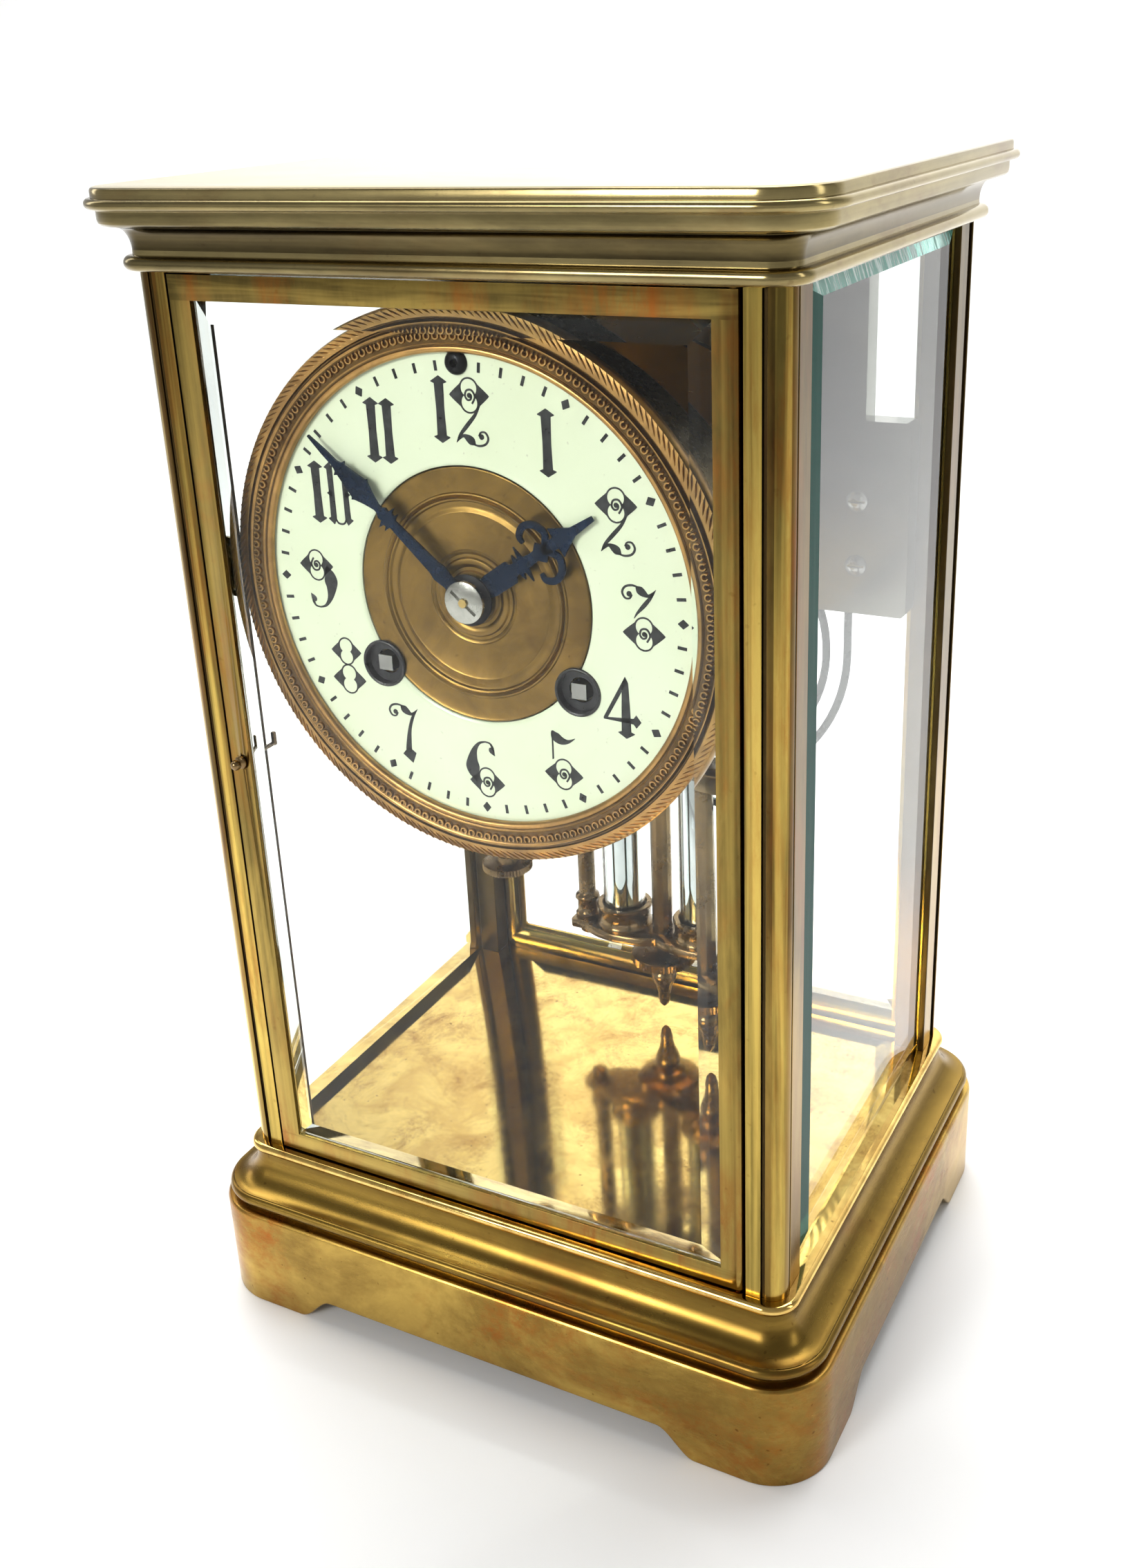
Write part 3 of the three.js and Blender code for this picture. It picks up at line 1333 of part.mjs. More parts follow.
function makeGongPlate() {
  const top = ceilingLevel - seatGap;
  const bottom = dialHeight - gongPlateDrop;
  const earTop = dialHeight + gongPlateEarRise;
  const shape = symmetricShape([
    [gongPlateHalfWidth - 1, bottom], [gongPlateEar - 1, bottom], [gongPlateEar, bottom + 1],
    [gongPlateEar, earTop - 1], [gongPlateEar - 1, earTop],
    [gongPlateHalfWidth, earTop], [gongPlateHalfWidth, top],
  ]);
  const back = gongPlateBack;
  const plate = plateXZ(shape, gongPlateFront, back);
  const screwHole = (z) => turnedY([
    [0, gongPlateFront - 0.5], [gongScrewRadius + 0.5, gongPlateFront - 0.5],
    [gongScrewRadius + 0.15, gongPlateFront], [1.3, gongPlateFront + 1.6], [1.3, back + 1], [0, back + 1],
  ], gongBlockX, z, 10);
  return cut(plate, ...gongScrewHeights.map(screwHole));
}

function makeGongBlock() {
  const front = gongPlateBack;
  const block = box(gongBlockX - gongBlockWidth / 2, gongBlockX + gongBlockWidth / 2, front,
    front + gongBlockDepth, gongBlockBase, gongBlockBase + gongBlockHeight);
  const screw = (z) => turnedY([
    [0, gongPlateFront + 0.1], [gongScrewRadius - 0.15, gongPlateFront + 0.1],
    [1.1, gongPlateFront + 1.6], [1.1, front + 1], [0, front + 1],
  ], gongBlockX, z, 10);
  return joined(block, ...gongScrewHeights.map(screw));
}

// The coil: a flat spiral whose outer end leaves it upwards at the right and runs straight to the block
function gongPath() {
  const stepsPerTurn = 24;
  const steps = gongTurns * stepsPerTurn;
  const points = [];
  for (let i = steps; i >= 0; i -= 1) {
    const turn = i / stepsPerTurn;
    const angle = -2 * Math.PI * turn;
    const radius = gongOuterRadius - gongPitch * turn;
    points.push(new THREE.Vector3(
      gongCentreX + radius * Math.cos(angle), gongY, gongCentreZ + radius * Math.sin(angle),
    ));
  }
  points.push(new THREE.Vector3(gongEnd, gongY, gongCentreZ + gongLead));
  points.push(new THREE.Vector3(gongEnd, gongY, gongBlockBase - seatGap));
  return points;
}

function leastGapToItself(points, radius, skip) {
  let least = Infinity;
  for (let i = 0; i < points.length; i += 1) {
    for (let j = i + skip; j < points.length; j += 1) {
      least = Math.min(least, points[i].distanceTo(points[j]));
    }
  }
  return least - 2 * radius;
}

function tubeAlong(points, radius, sides) {
  const vertices = [];
  const triangles = [];
  const across = new THREE.Vector3(0, 1, 0);
  points.forEach((point, i) => {
    const before = points[Math.max(i - 1, 0)];
    const after = points[Math.min(i + 1, points.length - 1)];
    const forward = after.clone().sub(before).normalize();
    const outward = forward.clone().cross(across).normalize();
    for (let s = 0; s < sides; s += 1) {
      const angle = (2 * Math.PI * s) / sides;
      const offset = outward.clone().multiplyScalar(Math.cos(angle) * radius)
        .addScaledVector(across, Math.sin(angle) * radius);
      vertices.push(...point.clone().add(offset).toArray());
    }
  });
  for (let i = 0; i < points.length - 1; i += 1) {
    for (let s = 0; s < sides; s += 1) {
      const a = i * sides + s;
      const b = i * sides + ((s + 1) % sides);
      triangles.push(a, b, b + sides, a, b + sides, a + sides);
    }
  }
  const last = (points.length - 1) * sides;
  for (let s = 1; s < sides - 1; s += 1) {
    triangles.push(0, s + 1, s);
    triangles.push(last, last + s, last + s + 1);
  }
  const geometry = new THREE.BufferGeometry();
  geometry.setAttribute('position', new THREE.Float32BufferAttribute(vertices, 3));
  geometry.setIndex(triangles);
  return toManifold(geometry);
}

function makeGongCoil() {
  const path = gongPath();
  const gap = leastGapToItself(path, gongWireRadius, 12);
  console.log(`gong coil: least gap between its turns ${gap.toFixed(2)} mm`);
  return tubeAlong(path, gongWireRadius, 6);
}

// Pendulum

function makePendulumRod() {
  const hookBottom = swingHeight - hookDrop;
  const hookTop = hookBottom + hookRise;
  const cheekInner = hookGap / 2;
  const cheekOuter = cheekInner + hookWall;
  const cheek = (side) => {
    const near = pendulumY + side * cheekInner;
    const far = pendulumY + side * cheekOuter;
    return box(-hookHalf, hookHalf, Math.min(near, far), Math.max(near, far), hookBottom, hookTop);
  };
  const yoke = box(-hookHalf, hookHalf, pendulumY - cheekOuter, pendulumY + cheekOuter,
    hookBottom - hookWall * 2, hookBottom + 0.1);
  const pinHole = rodY(1, 0, swingHeight - 4.4, pendulumY - 4, pendulumY + 4, 12);
  const hook = cut(joined(cheek(-1), cheek(1), yoke), pinHole);
  const rod = turnedZ([
    [0, ratingNutTop - 4.2], [pendulumScrewRadius, ratingNutTop - 4.2],
    [pendulumScrewRadius, cradleBase - 1], [pendulumRodRadius, cradleBase - 1],
    [pendulumRodRadius, hookBottom - hookNeck], [1.8, hookBottom - hookNeck + 2],
    [1.8, hookBottom - hookWall], [0, hookBottom - hookWall],
  ], 0, pendulumY, 12);
  return joined(hook, rod);
}

function makePendulumFrame() {
  const top = cradleTop;
  const endX = bobHalfWidth + bobColumnRadius + 1.2;
  const bar = new THREE.Shape();
  const rimRadius = socketRadius;
  bar.moveTo(-endX, -4);
  bar.lineTo(-bobHalfWidth + 1, -4);
  bar.quadraticCurveTo(-vialSpacing - 6, -cradleHalfDepth, -vialSpacing, -cradleHalfDepth);
  bar.quadraticCurveTo(-4, -cradleHalfDepth, 0, -5);
  bar.quadraticCurveTo(4, -cradleHalfDepth, vialSpacing, -cradleHalfDepth);
  bar.quadraticCurveTo(vialSpacing + 6, -cradleHalfDepth, bobHalfWidth - 1, -4);
  bar.lineTo(endX, -4);
  bar.lineTo(endX, 4);
  bar.lineTo(bobHalfWidth - 1, 4);
  bar.quadraticCurveTo(vialSpacing + 6, cradleHalfDepth, vialSpacing, cradleHalfDepth);
  bar.quadraticCurveTo(4, cradleHalfDepth, 0, 5);
  bar.quadraticCurveTo(-4, cradleHalfDepth, -vialSpacing, cradleHalfDepth);
  bar.quadraticCurveTo(-vialSpacing - 6, cradleHalfDepth, -bobHalfWidth + 1, 4);
  bar.lineTo(-endX, 4);
  bar.closePath();
  const plate = plateXY(bar, cradleBase, top, 4).translate([0, pendulumY, 0]);
  const parts = [plate];
  const topPlate = plateXY(bar, topBarBase, topBarTop, 4).translate([0, pendulumY, 0]);
  parts.push(topPlate);
  [-1, 1].forEach((side) => {
    const x = side * vialSpacing;
    const columnX = side * bobHalfWidth;
    parts.push(turnedZ([
      [rimRadius - cradleWall, top - 0.5], [rimRadius, top - 0.5], [rimRadius, top + cradleRim],
      [rimRadius - cradleWall, top + cradleRim], [rimRadius - cradleWall, top - 0.5],
    ], x, pendulumY, 16));
    parts.push(rodZ(3.3, columnX, pendulumY, top - 0.5, top + cradleRim, 12));
    parts.push(rodZ(bobColumnRadius, columnX, pendulumY, top, topBarBase + 1, 10));
    parts.push(rodZ(2.1, columnX, pendulumY, cradleBase - 2.6, cradleBase + 0.5, 6));
    parts.push(rodZ(2.6, columnX, pendulumY, topBarTop - 0.5, topBarTop + 2.4, 6));
  });
  const bore = rodZ(pendulumRodRadius + seatGap, 0, pendulumY, cradleBase - 1, topBarTop + 4, 12);
  const vialSeats = [-1, 1].map((side) => rodZ(rimRadius - cradleWall, side * vialSpacing, pendulumY,
    top - 0.01, top + cradleRim + 1, 16));
  return cut(joined(...parts), bore, ...vialSeats);
}

function makeVial(side) {
  const bottom = cradleTop;
  const rim = topBarBase - seatGap;
  const inner = vialRadius - vialWall;
  return turnedZ([
    [0, bottom], [vialRadius, bottom], [vialRadius, rim], [inner, rim],
    [inner, bottom + vialWall], [0, bottom + vialWall],
  ], side * vialSpacing, pendulumY, 16);
}

function makeMercury(side) {
  const bottom = cradleTop + vialWall;
  const top = topBarBase - seatGap - mercuryBelowRim;
  const radius = vialRadius - vialWall - mercuryGap;
  return turnedZ([
    [0, bottom], [radius, bottom], [radius, top - 0.5], [radius - 0.9, top], [0, top],
  ], side * vialSpacing, pendulumY, 16);
}

function makeRatingNut() {
  const top = ratingNutTop;
  const flangeBottom = top - ratingNutHeight;
  const bore = rodZ(pendulumScrewRadius + plateHoleClearance, 0, pendulumY, top - 4.4, top + 1, 12);
  const profile = [
    [0, top], [3.6, top], [ratingNutRadius, top - 0.8], [ratingNutRadius, flangeBottom + 0.6],
    [4.7, flangeBottom], [4.7, flangeBottom - 2.2], [2.6, flangeBottom - 2.8],
    [3.4, flangeBottom - 5], [1.6, pendulumTip + 1.2], [0, pendulumTip],
  ];
  return cut(turnedZ(profile, 0, pendulumY, 20), bore);
}

// Build

add('plinth', makePlinth(), brightBrass);
add('base_moulding', makeBaseMoulding(), brightBrass);
add('floor_plate', makeFloorPlate(), brightBrass);

const frontRightPillar = makePillar();
add('pillar_front_right', frontRightPillar, agedBrass);
add('pillar_front_left', mirrorX(frontRightPillar), agedBrass);
add('pillar_rear_right', mirrorY(frontRightPillar), agedBrass);
add('pillar_rear_left', mirrorX(mirrorY(frontRightPillar)), agedBrass);

add('cornice_bead', makeCorniceBead(), agedBrass);
add('cornice_cove', makeCorniceCove(), agedBrass);
add('cornice_fascia', makeCorniceFascia(), agedBrass);
add('top_plate', makeTopPlate(), agedBrass);

const rightGlass = makeSideGlass();
add('side_glass_right', rightGlass, glass);
add('side_glass_left', mirrorX(rightGlass), glass);

const doorFrame = makeDoorFrame();
const doorGlass = makeDoorGlass();
const latch = makeLatch();
add('front_door_frame', doorFrame, agedBrass);
add('front_door_glass', doorGlass, glass);
add('front_door_latch', latch, agedBrass);
add('rear_door_frame', mirrorY(doorFrame), agedBrass);
add('rear_door_glass', mirrorY(doorGlass), glass);
add('rear_door_latch', mirrorY(latch), agedBrass);

add('bezel', makeBezel(), giltBrass);
add('dial_ring', makeDialRing(), porcelain);
add('dial_centre', makeDialCentre(), giltBrass);
add('dial_drum', makeDialDrum(), agedBrass);
const rightArm = makeSupportArm();
add('support_arm_right', rightArm, agedBrass);
add('support_arm_left', mirrorX(rightArm), agedBrass);
add('thumb_screw', makeThumbScrew(), agedBrass);

add('hour_hand', makeHourHand(), bluedSteel);
add('minute_hand', makeMinuteHand(), bluedSteel);
add('hand_nut', makeHandNut(), steel);

add('movement_front_plate', makeFrontPlate(), movementBrass);
add('movement_back_plate', makeBackPlate(), movementBrass);
add('going_barrel', makeBarrel(goingBarrelArbor), movementBrass);
add('strike_barrel', makeBarrel(strikeBarrelArbor), movementBrass);
add('winding_arbor_right', makeWindingArbor(goingBarrelArbor), steel);
add('winding_arbor_left', makeWindingArbor(strikeBarrelArbor), steel);
add('going_second_wheel', makeSecondWheel(goingSecondArbor), movementBrass);
add('strike_second_wheel', makeSecondWheel(strikeSecondArbor), movementBrass);
add('centre_wheel', makeCentreWheel(), movementBrass);
add('third_wheel', makeThirdWheel(), movementBrass);
add('escape_wheel', makeEscapeWheel(), movementBrass);
add('pin_wheel', makePinWheel(), movementBrass);
add('fly', makeFly(), movementBrass);
add('hour_wheel', makeHourWheel(), movementBrass);
add('minute_wheel', makeMinuteWheel(), movementBrass);
add('anchor', makeAnchor(), steel);
add('back_cock', makeBackCock(), movementBrass);
add('suspension', makeSuspension(), steel);
add('regulator_arbor', makeRegulatorArbor(), steel);
add('hammer', makeHammer(), steel);

add('gong_plate', makeGongPlate(), nickel);
add('gong_block', makeGongBlock(), steel);
add('gong_coil', makeGongCoil(), bluedSteel);

add('pendulum_rod', makePendulumRod(), agedBrass);
add('pendulum_frame', makePendulumFrame(), agedBrass);
add('vial_left', makeVial(-1), glass);
add('vial_right', makeVial(1), glass);
add('mercury_left', makeMercury(-1), quicksilver);
add('mercury_right', makeMercury(1), quicksilver);
add('rating_nut', makeRatingNut(), agedBrass);

export default clock;
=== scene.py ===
"""Four glass clock: surfaces, glass, dial and light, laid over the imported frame."""
import math

import bmesh
import bpy
from mathutils import Matrix, Vector


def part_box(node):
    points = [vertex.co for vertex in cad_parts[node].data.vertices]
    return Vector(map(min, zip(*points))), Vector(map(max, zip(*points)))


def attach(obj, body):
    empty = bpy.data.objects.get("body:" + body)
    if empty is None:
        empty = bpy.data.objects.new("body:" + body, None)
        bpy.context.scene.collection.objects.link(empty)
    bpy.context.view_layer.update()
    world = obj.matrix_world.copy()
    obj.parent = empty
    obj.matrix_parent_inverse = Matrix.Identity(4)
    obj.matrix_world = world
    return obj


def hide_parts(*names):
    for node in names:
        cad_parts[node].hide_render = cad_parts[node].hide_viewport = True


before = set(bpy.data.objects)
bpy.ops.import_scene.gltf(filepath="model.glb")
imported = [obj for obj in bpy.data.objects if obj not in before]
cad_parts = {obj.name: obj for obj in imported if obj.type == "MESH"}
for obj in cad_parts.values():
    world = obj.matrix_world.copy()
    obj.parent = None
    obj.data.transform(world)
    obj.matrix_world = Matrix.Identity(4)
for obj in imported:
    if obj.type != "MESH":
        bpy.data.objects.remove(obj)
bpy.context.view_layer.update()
scene = bpy.context.scene
MM = 0.001

# Sizes in millimetres, as in the frame
HALF_X = 68.0
HALF_Y = 56.0
CORNER = 4.0
FLOOR = 40.4
CEILING = 244.3
DIAL_Z = 183.0
PENDULUM_Y = 34.0


# Meshes

def link(obj):
    scene.collection.objects.link(obj)
    return obj


def smooth(mesh, angle):
    mesh.shade_smooth()
    mesh.set_sharp_from_angle(angle=math.radians(angle))


def make(name, vertices, faces, angle=32.0, kinds=()):
    """A mesh object from points in millimetres; edges sharper than angle stay sharp.

    kinds gives the faces' materials. With angle None all faces stay flat.
    """
    mesh = bpy.data.meshes.new(name)
    mesh.from_pydata([Vector(v) * MM for v in vertices], [], faces)
    for polygon, kind in zip(mesh.polygons, kinds):
        polygon.material_index = kind
    bm = bmesh.new()
    bm.from_mesh(mesh)
    bmesh.ops.remove_doubles(bm, verts=bm.verts, dist=1e-7)
    bmesh.ops.recalc_face_normals(bm, faces=bm.faces)
    bm.to_mesh(mesh)
    bm.free()
    if angle is not None:
        smooth(mesh, angle)
    return link(bpy.data.objects.new(name, mesh))


def skin(rows, count, start=0):
    """Faces between rows of count points, each row closed to a ring."""
    faces = []
    for row in range(start, start + (rows - 1) * count, count):
        for i in range(count):
            a, b = row + i, row + (i + 1) % count
            faces.append((a, b, b + count, a + count))
    return faces


def arc(cx, cy, radius, start, end, steps=12):
    """Points on an arc between two angles in degrees."""
    angles = [math.radians(start + (end - start) * i / steps) for i in range(steps + 1)]
    return [(cx + radius * math.cos(a), cy + radius * math.sin(a)) for a in angles]


def raised(base, *points):
    """Points of a profile whose heights are measured from base."""
    return [(radius, base + height) for radius, height in points]


def outline(overhang):
    """The case seen from above, this much wider than its pillars."""
    radius = max(CORNER + overhang, 0.5)
    cx = HALF_X + overhang - radius
    cy = HALF_Y + overhang - radius
    points = []
    for sx, sy, start in ((1, -1, -90), (1, 1, 0), (-1, 1, 90), (-1, -1, 180)):
        points += arc(sx * cx, sy * cy, radius, start, start + 90, 16)
    return points


def moulding(name, profile):
    """The case's outline stacked through (overhang, z) points, closed top and bottom."""
    rings = [[(x, y, z) for x, y in outline(o)] for o, z in profile]
    count = len(rings[0])
    last = (len(rings) - 1) * count
    lids = [tuple(reversed(range(count))), tuple(range(last, last + count))]
    return make(name, [p for ring in rings for p in ring], skin(len(rings), count) + lids)


def prism(name, points, low, high, axis="z", angle=32.0):
    """A flat outline pushed from low to high along z (drawn in x, y) or y (drawn in x, z)."""
    count = len(points)
    vertices = [(a, b, level) if axis == "z" else (a, level, b) for level in (low, high) for a, b in points]
    lids = [tuple(range(count)), tuple(range(count, 2 * count))]
    return make(name, vertices, lids + skin(2, count), angle)


def block(name, x0, x1, y0, y1, z0, z1):
    return prism(name, [(x0, y0), (x1, y0), (x1, y1), (x0, y1)], z0, z1)


def lathe(name, profile, centre, axis="y", steps=128, closed=False, angle=32.0):
    """(radius, height) points turned about an axis along y or z through centre."""
    vertices, rings = [], []
    for radius, height in profile:
        angles = [2 * math.pi * i / steps for i in range(steps)] if radius else [0]
        rings.append([len(vertices) + i % len(angles) for i in range(steps)])
        for a in angles:
            c, s = radius * math.cos(a) + centre[0], radius * math.sin(a) + centre[1]
            vertices.append((c, height, s) if axis == "y" else (c, s, height))
    faces = []
    for low, high in list(zip(rings, rings[1:])) + [(rings[-1], rings[0])] * closed:
        for i in range(steps):
            j = (i + 1) % steps
            face = [low[i], low[j], high[j], high[i]]
            face = [v for n, v in enumerate(face) if v != face[n - 1]]
            if len(face) > 2:
                faces.append(tuple(face))
    return make(name, vertices, faces, angle)


def rod(name, radius, centre, low, high, axis="y", steps=32):
    return lathe(name, [(0, low), (radius, low), (radius, high), (0, high)], centre, axis, steps)


def dial_lathe(name, profile, steps=48, angle=32.0):
    """A closed ring about the dial's axis."""
    return lathe(name, profile, (0, DIAL_Z), "y", steps, True, angle)


def applied(obj):
    """Bakes the modifiers into the mesh."""
    graph = bpy.context.evaluated_depsgraph_get()
    mesh = bpy.data.meshes.new_from_object(obj.evaluated_get(graph))
    obj.modifiers.clear()
    obj.data = mesh
    return obj


def carve(obj, *tools):
    """Cuts the tools out of a piece."""
    for tool in tools:
        modifier = obj.modifiers.new("carve", "BOOLEAN")
        modifier.operation = "DIFFERENCE"
        modifier.object = tool
    applied(obj)
    for tool in tools:
        bpy.data.objects.remove(tool)
    smooth(obj.data, 32)
    return obj


def fuse(name, *objects):
    """Several closed shells of one rigid piece, kept in one mesh."""
    bm = bmesh.new()
    for obj in objects:
        bm.from_mesh(obj.data)
    mesh = bpy.data.meshes.new(name)
    bm.to_mesh(mesh)
    bm.free()
    for obj in objects:
        bpy.data.objects.remove(obj)
    smooth(mesh, 32)
    return link(bpy.data.objects.new(name, mesh))


def soften(obj, width=0.25, segments=2, limit=40):
    """Small rounded edges that catch the light."""
    modifier = obj.modifiers.new("edges", "BEVEL")
    modifier.width = width * MM
    modifier.segments = segments
    modifier.limit_method = "ANGLE"
    modifier.angle_limit = math.radians(limit)
    modifier.harden_normals = True
    return applied(obj)


def mirrored(obj, name, x=1, y=1):
    copy = link(bpy.data.objects.new(name, obj.data.copy()))
    copy.data.transform(Matrix.Diagonal((x, y, 1, 1)))
    if x * y < 0:
        copy.data.flip_normals()
    return copy


def sort_faces(obj, kind):
    """Gives each face the material that kind says for its middle in millimetres."""
    for polygon in obj.data.polygons:
        polygon.material_index = int(kind(*(polygon.center / MM)))


def wear(obj, material, slot, *nodes, body="case"):
    """Dresses a piece, sets it on its body and hides the frame nodes that it stands for.

    A piece called NODE_body stands for NODE.
    """
    materials = material if isinstance(material, list) else [material]
    kinds = [polygon.material_index for polygon in obj.data.polygons]
    obj.data.materials.clear()
    for one in materials:
        obj.data.materials.append(one)
    for polygon, kind in zip(obj.data.polygons, kinds):
        polygon.material_index = kind if len(materials) > 1 else 0
    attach(obj, body)
    if obj.name.endswith("_body"):
        nodes = [obj.name.removesuffix("_body")]
    if nodes:
        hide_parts(*nodes)


# Materials

class Nodes:
    """A material's node tree with short ways to add to it."""

    def __init__(self, name):
        self.material = bpy.data.materials.new(name)
        self.material.use_nodes = True
        self.tree = self.material.node_tree
        self.tree.nodes.clear()
        self.output = self.add("ShaderNodeOutputMaterial")
        self.shader = self.add("ShaderNodeBsdfPrincipled")
        self.feed(self.output.inputs["Surface"], self.shader.outputs[0])
        self.coordinates = self.add("ShaderNodeTexCoord").outputs["Object"]

    def feed(self, socket, value):
        """Sets a socket to a value, or joins it to the socket that is given."""
        if isinstance(value, bpy.types.NodeSocket):
            self.tree.links.new(value, socket)
        else:
            socket.default_value = (*value, 1) if socket.type == "RGBA" else value

    def add(self, kind, inputs=None, **values):
        node = self.tree.nodes.new(kind)
        for key, value in values.items():
            setattr(node, key, value)
        for key, value in (inputs or {}).items():
            self.feed(node.inputs[key], value)
        return node

    def scaled(self, *scale):
        return self.add("ShaderNodeMapping", {"Scale": scale, "Vector": self.coordinates}).outputs[0]

    def noise(self, scale, detail, roughness, vector=None, distortion=0.0):
        return self.add("ShaderNodeTexNoise", {
            "Scale": scale, "Detail": detail, "Roughness": roughness, "Distortion": distortion,
            "Vector": vector or self.coordinates}).outputs["Fac"]

    def ramp(self, value, *stops):
        """A value turned into the grey or the colour of two stops."""
        node = self.add("ShaderNodeValToRGB", {"Fac": value})
        for element, (position, colour) in zip(node.color_ramp.elements, stops):
            element.position = position
            element.color = (colour, colour, colour, 1) if isinstance(colour, (int, float)) else (*colour, 1)
        return node.outputs["Color"]

    def mix(self, factor, a, b, blend="MIX"):
        node = self.add("ShaderNodeMix", data_type="RGBA", blend_type=blend)
        for socket, value in zip([s for s in node.inputs if s.enabled], (factor, a, b)):
            self.feed(socket, value)
        return [s for s in node.outputs if s.enabled][0]

    def bump(self, height, strength, distance, **normal):
        return self.add("ShaderNodeBump", {
            "Strength": strength, "Distance": distance, "Height": height, **normal}).outputs["Normal"]

    def set(self, **values):
        """Feeds the shader's sockets; _ stands for a space in their names."""
        for key, value in values.items():
            self.feed(self.shader.inputs[key.replace("_", " ")], value)


def brass(name, bright, dull, stain, rough, dullness=0.5, stains=0.5, specks=0.2, grain=(1, 1, 1),
          bump=0.1, wave=0.16, cloud=24, fade=None, streaks=0.0, rails=None, run=0.3):
    """Old brass: bright metal, a dull film in clouds, brown stains, a few specks and fine scratches.

    The film and the streaks run along the grain, the film as much as run, from 0 to 1, is small. The streaks
    are light and dark bands, partly marks along the grain and partly painted reflections.
    fade gives two heights in metres between which more of the dull colour is laid on upwards, so the brass
    grows darker towards the top. Outside the heights of rails the streaks are level.
    """
    n = Nodes(name)
    along = [run + (1 - run) * g for g in grain]
    if fade or rails:
        height = n.add("ShaderNodeSeparateXYZ", {0: n.coordinates}).outputs["Z"]
    film = n.noise(cloud, 7, 0.66, n.scaled(*along), 0.7)
    if fade:
        rise = n.add("ShaderNodeMapRange", {
            "Value": height, "From Min": fade[0], "From Max": fade[1], "To Min": -0.15, "To Max": 0.28})
        film = n.add("ShaderNodeMath", {0: film, 1: rise.outputs[0]}, operation="ADD").outputs[0]
    middle = 0.62 - dullness * 0.26
    film = n.ramp(film, (middle - 0.07, 0.0), (middle + 0.09, 1.0))
    film = n.mix(0.3, film, n.ramp(n.noise(210, 5, 0.7, n.scaled(*along)), (0.32, 0.0), (0.72, 1.0)))
    # Streaks: light and dark bands, partly marks along the grain and partly painted reflections.
    if streaks:
        thin = [g if g == 1 else 0.014 for g in grain]
        bands = n.ramp(n.noise(420, 3, 0.6, n.scaled(*thin), 0.3), (0.38, 0.0), (0.6, 1.0))
        if rails:
            level = n.ramp(n.noise(420, 3, 0.6, n.scaled(0.06, 0.06, 1), 0.4), (0.4, 0.0), (0.6, 1.0))
            between = n.add("ShaderNodeMath", {
                0: height, 1: (rails[0] + rails[1]) / 2, 2: (rails[1] - rails[0]) / 2}, operation="COMPARE")
            bands = n.mix(between.outputs[0], level, bands)
        film = n.mix(streaks, film, bands)
    colour = n.mix(film, bright, dull)
    patches = n.noise(cloud * 1.3, 5, 0.65, n.scaled(*along), 1.1)
    patches = n.ramp(patches, (0.6 - 0.16 * stains, 0.0), (0.7, 1.0))
    broken = n.ramp(n.noise(260, 6, 0.8, n.scaled(*along)), (0.4, 0.1), (0.58, 1.0))
    stained = n.mix(1.0, n.mix(1.0, patches, broken, "MULTIPLY"), (stains, stains, stains), "MULTIPLY")
    colour = n.mix(stained, colour, stain)
    dots = n.ramp(n.noise(620, 1, 0.4), (0.73, 0.0), (0.79, specks))
    colour = n.mix(dots, colour, [c * 0.3 for c in stain])
    scratch = n.noise(300, 6, 0.8, n.scaled(*grain))
    low, high = rough
    worn = n.ramp(film, (0.0, low), (1.0, high))
    n.set(Base_Color=colour, Metallic=1.0,
          Roughness=n.mix(0.5, n.ramp(scratch, (0.32, low), (0.7, high)), worn),
          Normal=n.bump(scratch, bump, 0.0001, Normal=n.bump(n.noise(42, 3, 0.5), wave, 0.0007)))
    return n.material


def steel(name, colour, dark, rough, grain=(1, 1, 1), bump=0.1):
    n = Nodes(name)
    cloud = n.noise(70, 4, 0.6)
    line = n.noise(320, 5, 0.7, n.scaled(*grain))
    n.set(Base_Color=n.mix(n.ramp(cloud, (0.35, 0.0), (0.75, 0.8)), colour, dark), Metallic=1.0,
          Roughness=n.ramp(line, (0.3, rough[0]), (0.75, rough[1])), Normal=n.bump(line, bump, 0.0001))
    return n.material


def glass(name, tint, rough=0.0, ripple=0.0, index=1.5, clearness=1.0):
    """Clear glass that lets lamp light through to what stands behind it."""
    n = Nodes(name)
    n.set(Base_Color=tint, Transmission_Weight=clearness, IOR=index,
          Roughness=n.ramp(n.noise(24, 4, 0.6), (0.55, rough), (0.9, rough + 0.035)))
    if ripple:
        n.set(Normal=n.bump(n.noise(330, 2, 0.5, n.scaled(1, 1, 0.04)), ripple, 0.0005))
    light = n.add("ShaderNodeLightPath")
    clear = n.add("ShaderNodeBsdfTransparent", {"Color": [0.6 + 0.4 * t for t in tint]})
    mixed = n.add("ShaderNodeMixShader", {
        0: light.outputs["Is Shadow Ray"], 1: n.shader.outputs[0], 2: clear.outputs[0]})
    n.feed(n.output.inputs["Surface"], mixed.outputs[0])
    return n.material


def enamel(name, colour, shade):
    n = Nodes(name)
    tone = n.mix(n.ramp(n.noise(45, 4, 0.55), (0.3, 0.0), (0.8, 1.0)), colour, shade)
    fleck = n.ramp(n.noise(1300, 2, 0.5), (0.71, 0.0), (0.76, 0.35))
    n.set(Base_Color=n.mix(fleck, tone, (0.3, 0.27, 0.2)), Coat_Weight=0.6, Coat_Roughness=0.06,
          Roughness=n.ramp(n.noise(90, 3, 0.5), (0.3, 0.1), (0.8, 0.24)),
          Normal=n.bump(n.noise(120, 3, 0.5), 0.12, 0.0004))
    return n.material


def ink(name, colour):
    n = Nodes(name)
    cloud = n.noise(700, 4, 0.7)
    worn = [c * 3 + 0.02 for c in colour]
    n.set(Base_Color=n.mix(n.ramp(cloud, (0.45, 0.0), (0.8, 1.0)), colour, worn), Specular_IOR_Level=0.4,
          Roughness=n.ramp(cloud, (0.3, 0.25), (0.8, 0.5)))
    return n.material


